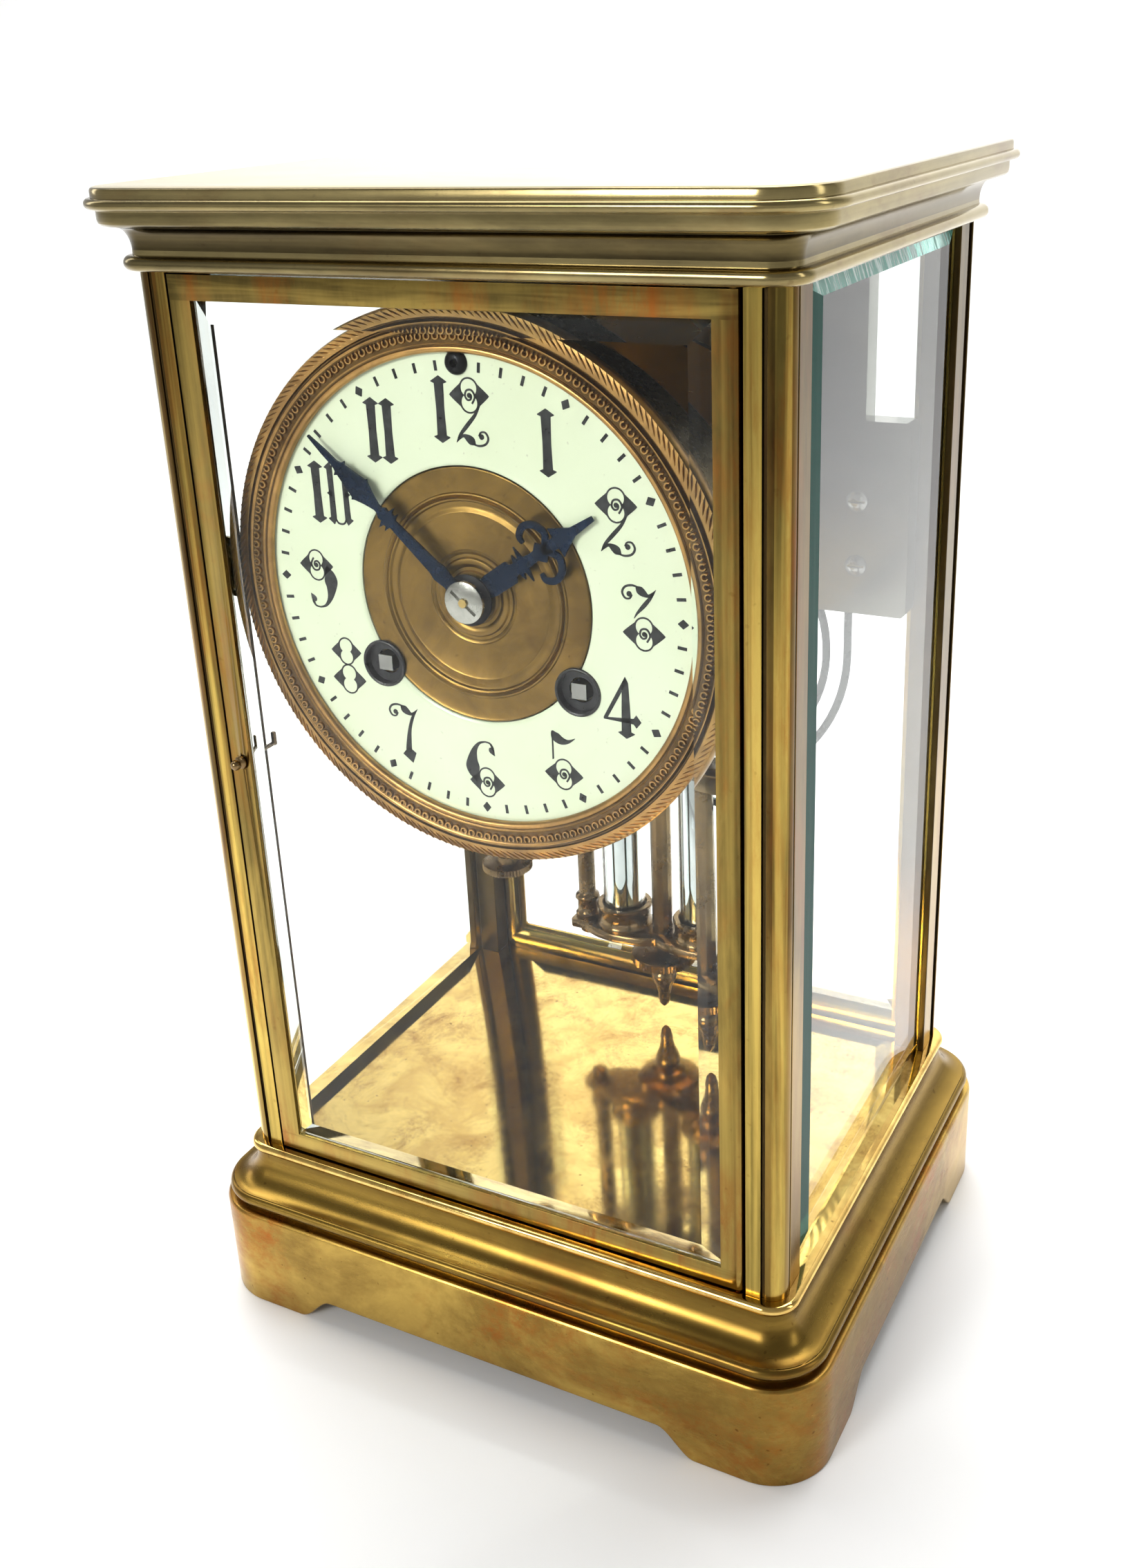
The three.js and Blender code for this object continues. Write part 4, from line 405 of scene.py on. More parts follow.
UPRIGHT = (1, 1, 0.05)
LEVEL = (0.05, 0.05, 1)
aged_brass = brass(
    "aged_brass", (0.84, 0.6, 0.14), (0.1, 0.074, 0.02), (0.32, 0.1, 0.015), (0.12, 0.24),
    dullness=0.45, stains=0.8, grain=UPRIGHT, fade=(0.05, 0.2), streaks=0.55, run=0.12)
door_brass = brass(
    "door_brass", (0.46, 0.32, 0.08), (0.09, 0.065, 0.02), (0.3, 0.09, 0.016), (0.14, 0.26), stains=0.9,
    grain=UPRIGHT, cloud=34, fade=(0.04, 0.22), streaks=0.35, rails=(0.0455, 0.2389), run=0.2)
cornice_brass = brass(
    "cornice_brass", (0.4, 0.32, 0.14), (0.1, 0.078, 0.036), (0.15, 0.06, 0.02), (0.13, 0.25),
    stains=0.7, grain=LEVEL, streaks=0.35)
# Painted shade: a darker copy of cornice_brass for the cove under the fascia.
cove_shade_brass = brass(
    "cove_shade_brass", (0.17, 0.13, 0.055), (0.05, 0.038, 0.018), (0.1, 0.045, 0.015), (0.13, 0.25),
    dullness=0.6, stains=0.6, grain=LEVEL, streaks=0.35)
# Painted shade with some dirt: a dark brass for the pillars' grooves and their inner faces.
groove_shade_brass = brass(
    "groove_shade_brass", (0.1, 0.065, 0.022), (0.04, 0.026, 0.01), (0.06, 0.02, 0.008), (0.26, 0.42),
    stains=0.6, grain=UPRIGHT)
# Painted shade: a darker copy of aged_brass where the pillars' round starts and on their outer side.
shade_brass = brass(
    "shade_brass", (0.38, 0.25, 0.06), (0.045, 0.03, 0.01), (0.2, 0.06, 0.012), (0.12, 0.24),
    dullness=0.45, stains=0.8, grain=UPRIGHT, fade=(0.1, 0.15), streaks=0.15, run=0.12)
base_brass = brass(
    "base_brass", (0.54, 0.36, 0.085), (0.22, 0.13, 0.028), (0.34, 0.11, 0.018), (0.2, 0.32),
    stains=0.95, specks=0.6, grain=LEVEL, cloud=26, run=0.75)
foot_brass = brass(
    "foot_brass", (0.27, 0.17, 0.034), (0.13, 0.075, 0.016), (0.17, 0.06, 0.012), (0.22, 0.36),
    dullness=0.45, stains=0.7, specks=0.4, grain=LEVEL, cloud=26, run=0.5, streaks=0.3)
floor_brass = brass(
    "floor_brass", (0.94, 0.68, 0.22), (0.68, 0.43, 0.12), (0.36, 0.17, 0.04), (0.03, 0.14),
    dullness=0.55, stains=0.9, specks=0.6, grain=(1, 0.3, 1), bump=0.03, wave=0.05, cloud=55, run=0.8)
# Painted sheen: a pale brass for the top face, standing for the light from above.
top_sheen_brass = brass(
    "top_sheen_brass", (0.86, 0.72, 0.42), (0.74, 0.6, 0.32), (0.62, 0.46, 0.22), (0.14, 0.24),
    dullness=0.4, stains=0.3, grain=(0.06, 1, 1), bump=0.04)
gilt_brass = brass(
    "gilt_brass", (0.54, 0.31, 0.1), (0.3, 0.17, 0.06), (0.17, 0.075, 0.024), (0.26, 0.4), cloud=60)
sunk_gilt = brass(
    "sunk_gilt", (0.16, 0.09, 0.03), (0.09, 0.05, 0.018), (0.06, 0.028, 0.01), (0.34, 0.5), cloud=60)
matt_gilt = brass(
    "matt_gilt", (0.25, 0.15, 0.038), (0.14, 0.085, 0.024), (0.1, 0.048, 0.014), (0.3, 0.44),
    specks=0.4, bump=0.2, cloud=50)
movement_brass = brass(
    "movement_brass", (0.7, 0.5, 0.19), (0.46, 0.33, 0.12), (0.34, 0.18, 0.06), (0.2, 0.36),
    stains=0.4, grain=(0.1, 1, 1))
# Partly dark old brass, partly painted shade inside the case: for the drum and the arms.
drum_shade_brass = brass(
    "drum_shade_brass", (0.16, 0.11, 0.045), (0.07, 0.048, 0.022), (0.05, 0.025, 0.012), (0.2, 0.32),
    dullness=0.6, stains=0.4)
coil_steel = steel("coil_steel", (0.03, 0.045, 0.045), (0.012, 0.016, 0.016), (0.2, 0.34))
bronze_brass = brass(
    "bronze_brass", (0.26, 0.17, 0.075), (0.1, 0.065, 0.03), (0.07, 0.035, 0.016), (0.18, 0.34), dullness=0.6)
polished_steel = steel("polished_steel", (0.36, 0.36, 0.34), (0.2, 0.19, 0.18), (0.14, 0.3))
nut_steel = steel("nut_steel", (0.62, 0.62, 0.56), (0.22, 0.21, 0.19), (0.16, 0.36), bump=0.3)
nickel_plate = steel("nickel_plate", (0.155, 0.15, 0.12), (0.115, 0.11, 0.085), (0.12, 0.2), (0.05, 1, 1))
blued_steel = steel("blued_steel", (0.016, 0.03, 0.06), (0.006, 0.008, 0.012), (0.2, 0.34))
dark_steel = steel("dark_steel", (0.02, 0.02, 0.022), (0.006, 0.006, 0.006), (0.25, 0.45))
quicksilver = steel("quicksilver", (0.8, 0.81, 0.83), (0.7, 0.71, 0.73), (0.02, 0.05), bump=0.02)
dial_enamel = enamel("dial_enamel", (0.67, 0.735, 0.54), (0.63, 0.7, 0.48))
dial_ink = ink("dial_ink", (0.006, 0.007, 0.007))
pane_glass = glass("pane_glass", (0.965, 0.98, 0.965), index=1.25)
bevel_glass = glass("bevel_glass", (0.86, 0.95, 0.92))
edge_glass = glass("edge_glass", (0.02, 0.14, 0.11), 0.1, 0.3)
# Painted light: a partly diffuse teal copy of the bevel glass, lit like a surface, for the side panes' top
# bevel.
teal_glass = glass("teal_glass", (0.2, 0.6, 0.5), 0.12, 1.0, clearness=0.55)
# Painted shade: a dark teal copy of the bevel glass for the side panes' front bevel.
deep_glass = glass("deep_glass", (0.006, 0.085, 0.062), 0.1, 0.1, index=1.2, clearness=0.3)
vial_glass = glass("vial_glass", (0.95, 0.985, 0.97))

CAD_LOOKS = [
    (movement_brass, "movement_brass", """
        movement_front_plate movement_back_plate going_barrel strike_barrel going_second_wheel
        strike_second_wheel centre_wheel third_wheel escape_wheel pin_wheel fly hour_wheel minute_wheel
        back_cock"""),
    (polished_steel, "polished_steel", """
        winding_arbor_right winding_arbor_left anchor suspension hammer regulator_arbor"""),
    (nickel_plate, "nickel_plate", "gong_plate"),
    (bronze_brass, "aged_brass", "pendulum_rod"),
]
for material, slot, nodes in CAD_LOOKS:
    for node in nodes.split():
        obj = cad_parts[node]
        obj.data.materials.clear()
        obj.data.materials.append(material)


# Case

def arch(half):
    """The opening between two bracket feet, half wide to their outer ends."""
    foot, sweep, rise = half - 26, 9, 6.5
    side = [(foot - sweep * t / 16, rise * (t / 16) ** 2 * (3 - t / 8)) for t in range(17)]
    return [(-foot, -1)] + [(-x, z) for x, z in side] + list(reversed(side)) + [(foot, -1)]


plinth = moulding("plinth_body", [(10, 0), (10, 24.9), (9.85, 25.5), (9.5, 25.88), (9.0, 26)])
carve(plinth, moulding("t1", [(7, -1), (7, 23)]), moulding("t2", [(-1, 22), (-1, 27)]),
      prism("t3", arch(78), -67, 67, "y"))
side_cut = prism("t4", arch(66), -79, 79, "y")
side_cut.data.transform(Matrix.Rotation(math.pi / 2, 4, "Z"))
carve(plinth, side_cut)
wear(soften(plinth, 0.35), base_brass, "bright_brass")

cove = [(1.4 + 6.6 * (1 - math.sin(a)), 37.4 - 7.2 * math.cos(a))
        for a in (math.pi / 2 * i / 14 for i in range(15))]
base = moulding("base_moulding_body", [
    (7.6, 26), (7.6, 27.2), *arc(7.55, 28.6, 1.45, -62, 62, 8), (7.95, 29.95), *cove, (1.4, 38)])
carve(base, moulding("t1", [(-8, 25), (-8, 34.6)]))
wear(soften(base, 0.15, 1, 50), foot_brass, "bright_brass")


def pivot_tools(low, high):
    """Tools that cut the holes of the doors' pivots."""
    return [rod(f"p{i}", 1.0, (57.8, y), low, high, "z", 24) for i, y in enumerate((-54.5, 54.5))]


floor_piece = moulding("floor_plate_body", arc(1.2, 39.2, 1.2, -90, 90))
wear(carve(floor_piece, *pivot_tools(38.6, 42)), floor_brass, "bright_brass")

bead = moulding("cornice_bead_body", [*arc(1.45, 245.75, 1.45, -90, 80), (0.95, 247.25), (0.9, 248.2)])
wear(carve(bead, *pivot_tools(243, 246.1)), cornice_brass, "aged_brass")

curve = [(0.9 + 2.7 * (1 - math.cos(a)), 248.2 + 4.3 * math.sin(a))
         for a in (math.pi / 2 * i / 12 for i in range(13))]
cove_ring = moulding("cornice_cove_body", [*curve, (3.6, 252.8)])
# The cove wears painted shade.
wear(carve(cove_ring, moulding("t1", [(-8, 247), (-8, 254)])), cove_shade_brass, "aged_brass")

fascia = moulding("cornice_fascia_body", [
    (5.4, 252.8), (6.0, 252.95), (6.5, 253.4), (6.7, 254.1), (6.7, 255.7), (7.0, 255.95),
    *arc(7.7, 257, 1.0, -80, 80, 10), (6.9, 258)])
wear(carve(fascia, moulding("t1", [(-8, 252), (-8, 259)])), cornice_brass, "aged_brass")

top = moulding("top_plate_body", [(7.3, 258), (7.3, 259.4), (7.1, 259.8), (6.7, 260)])
# The top face wears the pale painted sheen, the rims cornice_brass.
sort_faces(top, lambda x, y, z: z < 259.9)
wear(top, [top_sheen_brass, cornice_brass], "aged_brass")

pillar = prism("pillar_front_right_body", [
    (59.8, -56), (63.2, -56), (63.2, -55.3), (64, -55.3), *arc(64, -52, 4, -90, 0, 14), (66.7, -52),
    (66.7, -50.6), (67.6, -50.6), (67.6, -44.6), (66.1, -44.6), (66.1, -47.6), (63.7, -47.6),
    (63.7, -44.6), (58.1, -44.6), (58.1, -50), (59.8, -50)], FLOOR, CEILING)
PILLAR = [aged_brass, groove_shade_brass, shade_brass]


def pillar_kind(x, y, z):
    """Which of PILLAR a face wears: painted shade with some dirt in the grooves, painted shade on the inner
    faces, and paler painted shade where the round starts and on the outer side.
    """
    groove = (63.1 < x < 64.1 and y < -54.9) or (x > 66 and -52.1 < y < -50.5) or (x < 59.9 and y < -50)
    if groove or x < 58.3 or y > -44.8:
        return 1
    return 2 if (64 < x < 65.4 and y < -55.3) or x > 67.5 else 0


sort_faces(soften(pillar, 0.22), pillar_kind)
for name, x, y in (("front_left", -1, 1), ("rear_right", 1, -1), ("rear_left", -1, -1)):
    wear(mirrored(pillar, f"pillar_{name}_body", x, y), PILLAR, "aged_brass")
wear(pillar, PILLAR, "aged_brass")


# Glass

def limits(node):
    """The low and the high corner of a node's box, in millimetres."""
    return [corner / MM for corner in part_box(node)]


def pane(name, half, low, high, inner, thickness, edge, bevel, lit_and_shaded_bevels=()):
    """A pane facing -y with its bevel on the outer face.

    bevel gives the bevel's width at the bottom, +x, the top and -x. lit_and_shaded_bevels pairs a side with
    the kind of face that its bevel is, a lit copy of the glass as painted light and a dark copy as painted
    shade, besides the plain kinds: 0 pane, 1 bevel, 2 edge.
    """
    def ring(y, bottom, right_side, top_side, left_side):
        return [(-half + left_side, y, low + bottom), (half - right_side, y, low + bottom),
                (half - right_side, y, high - top_side), (-half + left_side, y, high - top_side)]

    flat = (0, 0, 0, 0)
    vertices = ring(inner, *flat) + ring(inner - edge, *flat) + ring(inner - thickness, *bevel)
    kinds = [0, 0, 2, 2, 2, 2] + [dict(lit_and_shaded_bevels).get(i, 1) for i in range(4)]
    return make(name, vertices, [(0, 1, 2, 3), (11, 10, 9, 8)] + skin(3, 4), None, kinds)


GLASSES = [pane_glass, bevel_glass, edge_glass, teal_glass, deep_glass]
# The side panes' top bevel wears the lit teal copy as painted light, the front bevel the dark teal copy as
# painted shade.
side = pane("side_glass_right_pane", 47.3, FLOOR, CEILING - 0.3, 0, 2.6, 1.4, (4.6, 8.2, 3.6, 10.3),
            ((2, 3), (3, 4)))
side.data.transform(Matrix.Translation((64.0 * MM, 0, 0)) @ Matrix.Rotation(math.pi / 2, 4, "Z"))
wear(mirrored(side, "side_glass_left_pane", -1, 1), GLASSES, "clear_glass", "side_glass_left")
wear(side, GLASSES, "clear_glass", "side_glass_right")

low, high = limits("front_door_glass")
door_pane = pane("front_door_pane", 55.2, low.z, high.z, high.y, 2.6, 0.6, (5.2, 5.2, 5.2, 5.2))
rear_pane = mirrored(door_pane, "rear_door_pane", 1, -1)
wear(rear_pane, GLASSES, "clear_glass", "rear_door_glass", body="rear_door")
wear(door_pane, GLASSES, "clear_glass", "front_door_glass", body="front_door")


# Doors

hinge = arc(57.8, -54.5, 1.5, -90, 0, 10)
door = prism("front_door_frame_body", [(-59.3, -56), *hinge, (59.3, -50.5), (-59.3, -50.5)], 40.9, 243.8)
carve(
    door,
    block("t1", -54.3, 54.3, -57, -50, 45.5, 238.9),
    block("t2", -55.5, 55.5, -55, -50, 44.3, 240.1),
    rod("t3", 0.9, (-56.5, 142), -57, -50, "y", 24),
)
soften(door, 0.3)
pins = [rod("pin", 0.8, (57.8, -54.5), low, high, "z", 20) for low, high in ((38.9, 41.5), (243.2, 245.8))]
door = fuse("front_door_frame_body", door, *pins)
wear(mirrored(door, "rear_door_frame_body", 1, -1), door_brass, "aged_brass", body="rear_door")
wear(door, door_brass, "aged_brass", body="front_door")


# Dial

bezel_profile = [
    (47.2, -47.7), (47.2, -48.3), (47.45, -48.8), (47.9, -49.0), (48.3, -48.95), (48.55, -48.7),
    (48.8, -48.75), (49.05, -49.05), (51.55, -49.25), (51.8, -49.5), (52.0, -49.5), (52.2, -48.9),
    (52.4, -48.7), (52.65, -48.75), (52.85, -49.2), (53.15, -49.25), (55.1, -48.9), (55.4, -48.3),
    (55.2, -46.1), (54.9, -45.8), (48.8, -45.8), (48.8, -47.7)]
bezel = dial_lathe("bezel_body", bezel_profile, 192, 45)
SUNK = (48.3, 48.9), (49.1, 51.5), (52.0, 52.9)
sort_faces(bezel, lambda x, y, z: y < -48.5 and any(a < math.hypot(x, z - DIAL_Z) < b for a, b in SUNK))
wear(bezel, [gilt_brass, sunk_gilt], "gilt_brass")


def rope_ring(name, radius, y, height, half, count, lean):
    """Short slanted lobes laid round the rim, like the strands of a rope."""
    vertices, faces = [], []
    around, along = 8, 7
    for k in range(count):
        start = len(vertices)
        for i in range(along):
            t = -1 + 2 * i / (along - 1)
            thick = math.sqrt(max(0.0, 1 - t * t * 0.92))
            for j in range(around):
                a = 2 * math.pi * j / around
                r = radius + t * half + 0.2 * math.cos(a)
                angle = (2 * k + lean * t + 0.85 * thick * math.cos(a)) * math.pi / count
                depth = y - height * thick * math.sin(a)
                vertices.append((r * math.cos(angle), depth, DIAL_Z + r * math.sin(angle)))
        last = start + (along - 1) * around
        faces += skin(along, around, start)
        faces += [tuple(range(start, start + around)), tuple(reversed(range(last, last + around)))]
    return make(name, vertices, faces, 60)


wear(rope_ring("bezel_rope", 54.15, -49.05, 0.36, 0.95, 216, 1.9), gilt_brass, "gilt_brass")


def loop_band(name, radius, y, count):
    """A running pattern of small raised loops round the band."""
    vertices, faces = [], []
    steps, sides, wire, loop = 14, 6, 0.27, 0.62
    for k in range(count):
        faces += skin(steps, sides, len(vertices))
        for i in range(steps):
            a = math.radians(-150 + 300 * i / (steps - 1))
            for j in range(sides):
                b = 2 * math.pi * j / sides
                reach = loop + wire * math.cos(b)
                r = radius + 0.12 - reach * math.cos(a)
                angle = 2 * math.pi * (k + 0.5) / count + reach * math.sin(a) / radius
                depth = y - wire * math.sin(b) * 1.6
                vertices.append((r * math.cos(angle), depth, DIAL_Z + r * math.sin(angle)))
    return make(name, vertices, faces, 60)


wear(loop_band("bezel_loops", 50.3, -49.3, 168), gilt_brass, "gilt_brass")

ring_piece = dial_lathe("dial_ring_body", [
    (26, -45.8), (26, -47.05), (26.25, -47.25), (26.7, -47.38), (27.4, -47.4), (48.5, -47.4),
    (48.5, -45.8)], 160)
HOLE = 4.55
WINDING = [("right", 22.3), ("left", -22.3)]
WINDING_Z = 166.5
REGULATOR_Z = 228.3


def hole_tools():
    """Tools that cut the holes for the key."""
    return [rod(f"hole_{side}", HOLE, (x, WINDING_Z), -50, -44, "y", 48) for side, x in WINDING]


carve(ring_piece, *hole_tools(), rod("t3", 1.3, (0, REGULATOR_Z), -50, -44, "y", 32))
wear(ring_piece, dial_enamel, "dial_enamel")

centre_profile = [
    (3.0, -46.0), (3.0, -47.3), (4.4, -47.5), (5.2, -47.4), (5.5, -47.0), (6.1, -46.95), (6.6, -47.3),
    (7.2, -47.45), (7.8, -47.3), (8.1, -46.95), (8.7, -46.9), (9.0, -47.2), (9.4, -47.3), (9.7, -47.05),
    (16.6, -46.95), (16.9, -47.1), (17.2, -47.05), (17.6, -46.75), (18.3, -46.65), (19.0, -46.85),
    (19.3, -47.25), (19.6, -47.35), (19.8, -47.1), (19.95, -46.9), (20.15, -47.1), (20.4, -47.35),
    (20.7, -47.3), (20.9, -47.05), (25.1, -47.0), (25.5, -47.2), (25.7, -47.1), (25.7, -46.0)]
centre = dial_lathe("dial_centre_body", centre_profile, 160, 50)
carve(centre, *hole_tools())
wear(centre, matt_gilt, "gilt_brass")


# Lettering

def flow(*points, steps=7):
    """A smooth line through (x, z, width) points, as points and widths."""
    ends = [points[0], *points, points[-1]]
    line = []
    for p0, p1, p2, p3 in zip(ends, ends[1:], ends[2:], ends[3:]):
        for i in range(steps):
            t = i / steps
            line.append([0.5 * (2 * b + (c - a) * t + (2 * a - 5 * b + 4 * c - d) * t * t
                                + (3 * b - a - 3 * c + d) * t ** 3) for a, b, c, d in zip(p0, p1, p2, p3)])
    line.append(list(points[-1]))
    return [(x, z) for x, z, w in line], [max(w, 0.02) for x, z, w in line]


# How much wider the strokes are than drawn
STROKE = 1.35


def ribbon(points, widths):
    """Left and right edges of a stroke through points with a width at each."""
    left, right = [], []
    for i, (x, z) in enumerate(points):
        ax, az = points[max(i - 1, 0)]
        bx, bz = points[min(i + 1, len(points) - 1)]
        dx, dz = bx - ax, bz - az
        size = math.hypot(dx, dz) or 1
        half = widths[i] / 2 * STROKE
        left.append((x - dz / size * half, z + dx / size * half))
        right.append((x + dz / size * half, z - dx / size * half))
    return left, right


def straight(*points):
    """Edges of an upright stroke from (height, half width) points about x = 0."""
    return [(-w * STROKE, z) for z, w in points], [(w * STROKE, z) for z, w in points]


def swept(*points):
    return ribbon(*flow(*points))


def disc(x, z, radius):
    return arc(x, z, radius, 0, 180, 14), arc(x, z, radius, 0, -180, 14)


class Sheet:
    """Flat shapes, each between two edges, gathered into one thin layer."""

    def __init__(self):
        self.shapes = []

    def add(self, shapes, place=(0, 0), size=1.0, turn=0.0):
        """Adds shapes scaled by size, turned clockwise by turn degrees and moved to place."""
        c, s = math.cos(math.radians(turn)), math.sin(math.radians(turn))
        move = lambda x, z: (place[0] + size * (x * c + z * s), place[1] + size * (z * c - x * s))
        for left, right in shapes:
            self.shapes.append(([move(*p) for p in left], [move(*p) for p in right]))

    def build(self, name, front, back):
        vertices, faces = [], []
        for left, right in self.shapes:
            start, count = len(vertices), len(left)
            vertices += [(x, layer, z) for layer in (front, back) for edge in (left, right) for x, z in edge]
            at = lambda layer, side, i: start + layer * 2 * count + side * count + i
            for i in range(count - 1):
                for layer in (0, 1):
                    faces.append((at(layer, 0, i), at(layer, 0, i + 1), at(layer, 1, i + 1), at(layer, 1, i)))
                for side in (0, 1):
                    faces.append((at(0, side, i), at(0, side, i + 1), at(1, side, i + 1), at(1, side, i)))
            for i in (0, count - 1):
                faces.append((at(0, 0, i), at(0, 1, i), at(1, 1, i), at(1, 0, i)))
        return make(name, vertices, faces, 30)


def bowl(cx, cz, reach, tall, spiral=True):
    """A wide diamond pierced by two round openings, one above the other, with a curl inside."""
    line = 0.34
    radius = tall * 0.5
    lift = tall - radius - line
    shapes = []
    steps = 36
    for side in (-1, 1):
        outer, inner = [], []
        for i in range(steps + 1):
            z = tall * math.cos(math.pi * i / steps)
            rise = abs(z) - lift
            hole = math.sqrt(max(radius ** 2 - rise ** 2, 0))
            rim = math.sqrt(max((radius + line) ** 2 - rise ** 2, 0))
            edge = reach * (1 - (abs(z) / tall) ** 1.12 * 0.95)
            outer.append((cx + side * max(edge, rim), cz + z))
            inner.append((cx + side * hole, cz + z))
        shapes.append((outer, inner))
    if spiral:
        curl = []
        for i in range(9):
            a = math.radians(70 - 62 * i)
            r = 0.35 + 0.13 * i
            curl.append((cx + r * math.cos(a), cz - 0.1 + r * 1.15 * math.sin(a), 0.3))
        shapes += [swept(*curl), disc(cx + 0.05, cz, 0.5)]
    return shapes


def spun(shapes):
    """The same shapes turned by half a turn about the origin."""
    return [([(-x, -z) for x, z in left], [(-x, -z) for x, z in right]) for left, right in shapes]


def shifted(shapes, x):
    return [([(a + x, b) for a, b in left], [(a + x, b) for a, b in right]) for left, right in shapes]


SPEAR = [
    (6.45, 0.03), (5.35, 1.35), (5.2, 1.3), (4.95, 0.78), (0, 0.68), (-4.95, 0.78), (-5.2, 1.3),
    (-5.35, 1.35), (-6.45, 0.03)]
FLOURISH = [
    swept((-3.1, -6.1, 0.06), (-2.3, -5.2, 0.4), (-1.4, -4.75, 0.5), (-0.4, -5.2, 1.1), (0.4, -5.8, 1.15),
          (1.1, -6.4, 0.1)),
    swept((0.2, -6.1, 0.2), (1.8, -6.5, 0.32), (3.3, -6.1, 0.34), (3.95, -5.0, 0.34), (3.4, -3.9, 0.3),
          (2.4, -3.9, 0.28), (2.0, -4.7, 0.4)),
    disc(2.5, -4.75, 0.55),
]


def numeral(digit):
    """A digit about 12.9 mm tall, centred on the origin."""
    if digit == "1":
        return [straight(*SPEAR)]
    if digit == "0":
        half = [([(-w, z) for z, w in SPEAR], [(min(w, 0.66), z) for z, w in SPEAR])]
        ties = [swept((-1.4, s * 4.9, 0.25), (-0.7, s * 6.1, 0.3), (0.7, s * 6.1, 0.3), (1.4, s * 4.9, 0.25))
                for s in (-1, 1)]
        spurs = [([(s * 2.9, 0), (s * 1.6, 0.9)], [(s * 2.9, 0), (s * 1.6, -0.9)]) for s in (-1, 1)]
        return shifted(half, -1.7) + shifted(spun(half), 1.7) + ties + spurs
    if digit == "2":
        tail = swept((2.5, 1.2, 0.2), (1.3, -0.7, 0.5), (-0.5, -2.7, 0.62), (-2.2, -4.6, 0.45),
                     (-3.1, -6.1, 0.06))
        return bowl(0.3, 3.0, 4.4, 3.45) + [tail] + FLOURISH
    if digit == "3":
        neck = swept((3.1, 6.1, 0.06), (1.9, 4.4, 0.5), (0.5, 2.7, 0.62), (-0.9, 1.1, 0.35), (-1.6, 0.0, 0.1))
        return bowl(0.4, -2.95, 4.5, 3.45) + [neck] + spun(FLOURISH)
    if digit == "4":
        cross = ([(-3.9, -2.5), (2.6, -2.0), (3.2, -1.2), (4.3, -2.6)],
                 [(-3.9, -2.9), (2.6, -3.2), (3.2, -4.0), (4.3, -2.6)])
        slant = ([(0.9, 6.3), (-3.9, -2.5)], [(1.3, 5.2), (-3.1, -2.7)])
        return shifted([straight(*SPEAR[:1], (5.2, 0.5), *SPEAR[4:])], 1.0) + [cross, slant]
    if digit == "5":
        stem = ([(-2.2, 6.2), (-2.3, 0.0)], [(-1.9, 6.2), (-1.9, 0.2)])
        flag = swept((-2.1, 6.3, 0.3), (-1.4, 5.2, 1.5), (-0.1, 4.4, 1.3), (1.5, 4.4, 0.6), (3.1, 5.3, 0.08))
        return bowl(0.2, -2.95, 4.4, 3.45) + [stem, flag]
    if digit in "69":
        back = swept((0.6, 6.25, 0.25), (-0.9, 5.7, 0.45), (-2.1, 4.1, 0.9), (-2.7, 2.0, 1.7),
                     (-2.8, 0.3, 2.4), (-2.6, -1.2, 1.8), (-1.9, -2.8, 0.4))
        hook = swept((0.6, 6.25, 0.25), (1.7, 6.0, 0.3), (2.2, 5.1, 0.5), (2.0, 4.5, 1.0), (2.7, 3.4, 0.08))
        six = bowl(0.5, -2.9, 4.2, 3.4) + [back, hook]
        return six if digit == "6" else spun(six)
    if digit == "7":
        stem = swept((3.1, 6.1, 0.06), (1.8, 4.2, 0.5), (0.8, 1.4, 0.6), (0.3, -1.6, 0.9), (0.1, -3.6, 1.1))
        foot = ([(-0.4, -3.4), (-1.5, -4.7), (0.9, -6.5)], [(0.6, -3.2), (1.9, -4.1), (0.9, -6.5)])
        return [stem, foot] + spun(FLOURISH)
    return bowl(-0.1, 3.15, 3.8, 3.1, False) + bowl(0.1, -3.05, 4.2, 3.35, False)


lettering = Sheet()
NUMERAL_RADIUS = 36.4
NUMERAL_SIZE = 0.98
SPACING = {"10": (-3.3, 2.0), "11": (-1.85, 1.85), "12": (-4.3, 2.0)}
for hour in range(1, 13):
    digits = str(hour)
    a = math.radians(90 - 30 * hour)
    place = (NUMERAL_RADIUS * math.cos(a), DIAL_Z + NUMERAL_RADIUS * math.sin(a))
    for digit, step in zip(digits, SPACING.get(digits, (0,))):
        lettering.add(shifted(numeral(digit), step), place, NUMERAL_SIZE)
for minute in range(1, 60):
    mark = (43.7, 0.05), (44.8, 0.72), (45.9, 0.05)
    if minute % 5:
        mark = (43.8, 0.24), (45.7, 0.24)
    lettering.add([straight(*mark)], (0, DIAL_Z), 1.0, 6 * minute)
wear(lettering.build("dial_lettering", -47.45, -47.38), dial_ink, "dial_enamel")

# Painted shade: a near-black lining for the winding holes, dark as the shade inside them.
hole_shade_black = ink("hole_shade_black", (0.004, 0.004, 0.005))
CUP = [
    (5.0, -47.4), (4.9, -47.75), (4.65, -47.85), (4.35, -47.7), (4.25, -46.1), (2.6, -45.95), (2.6, -45.7),
    (4.5, -45.7), (4.5, -47.4)]
# The winding-hole cups wear the near-black painted shade.
for side, x in WINDING:
    cup = lathe(f"winding_hole_{side}", CUP, (x, WINDING_Z), "y", 48, True)
    wear(cup, hole_shade_black, "polished_steel")
dome = lathe("regulator_dome", [
    (2.35, -47.35), (2.3, -47.8), (2.0, -48.3), (1.5, -48.65), (1.0, -48.75), (0.75, -48.6), (0.7, -47.2),
    (1.25, -47.2)], (0, REGULATOR_Z), "y", 40, True)
wear(dome, dark_steel, "polished_steel")


# Hands

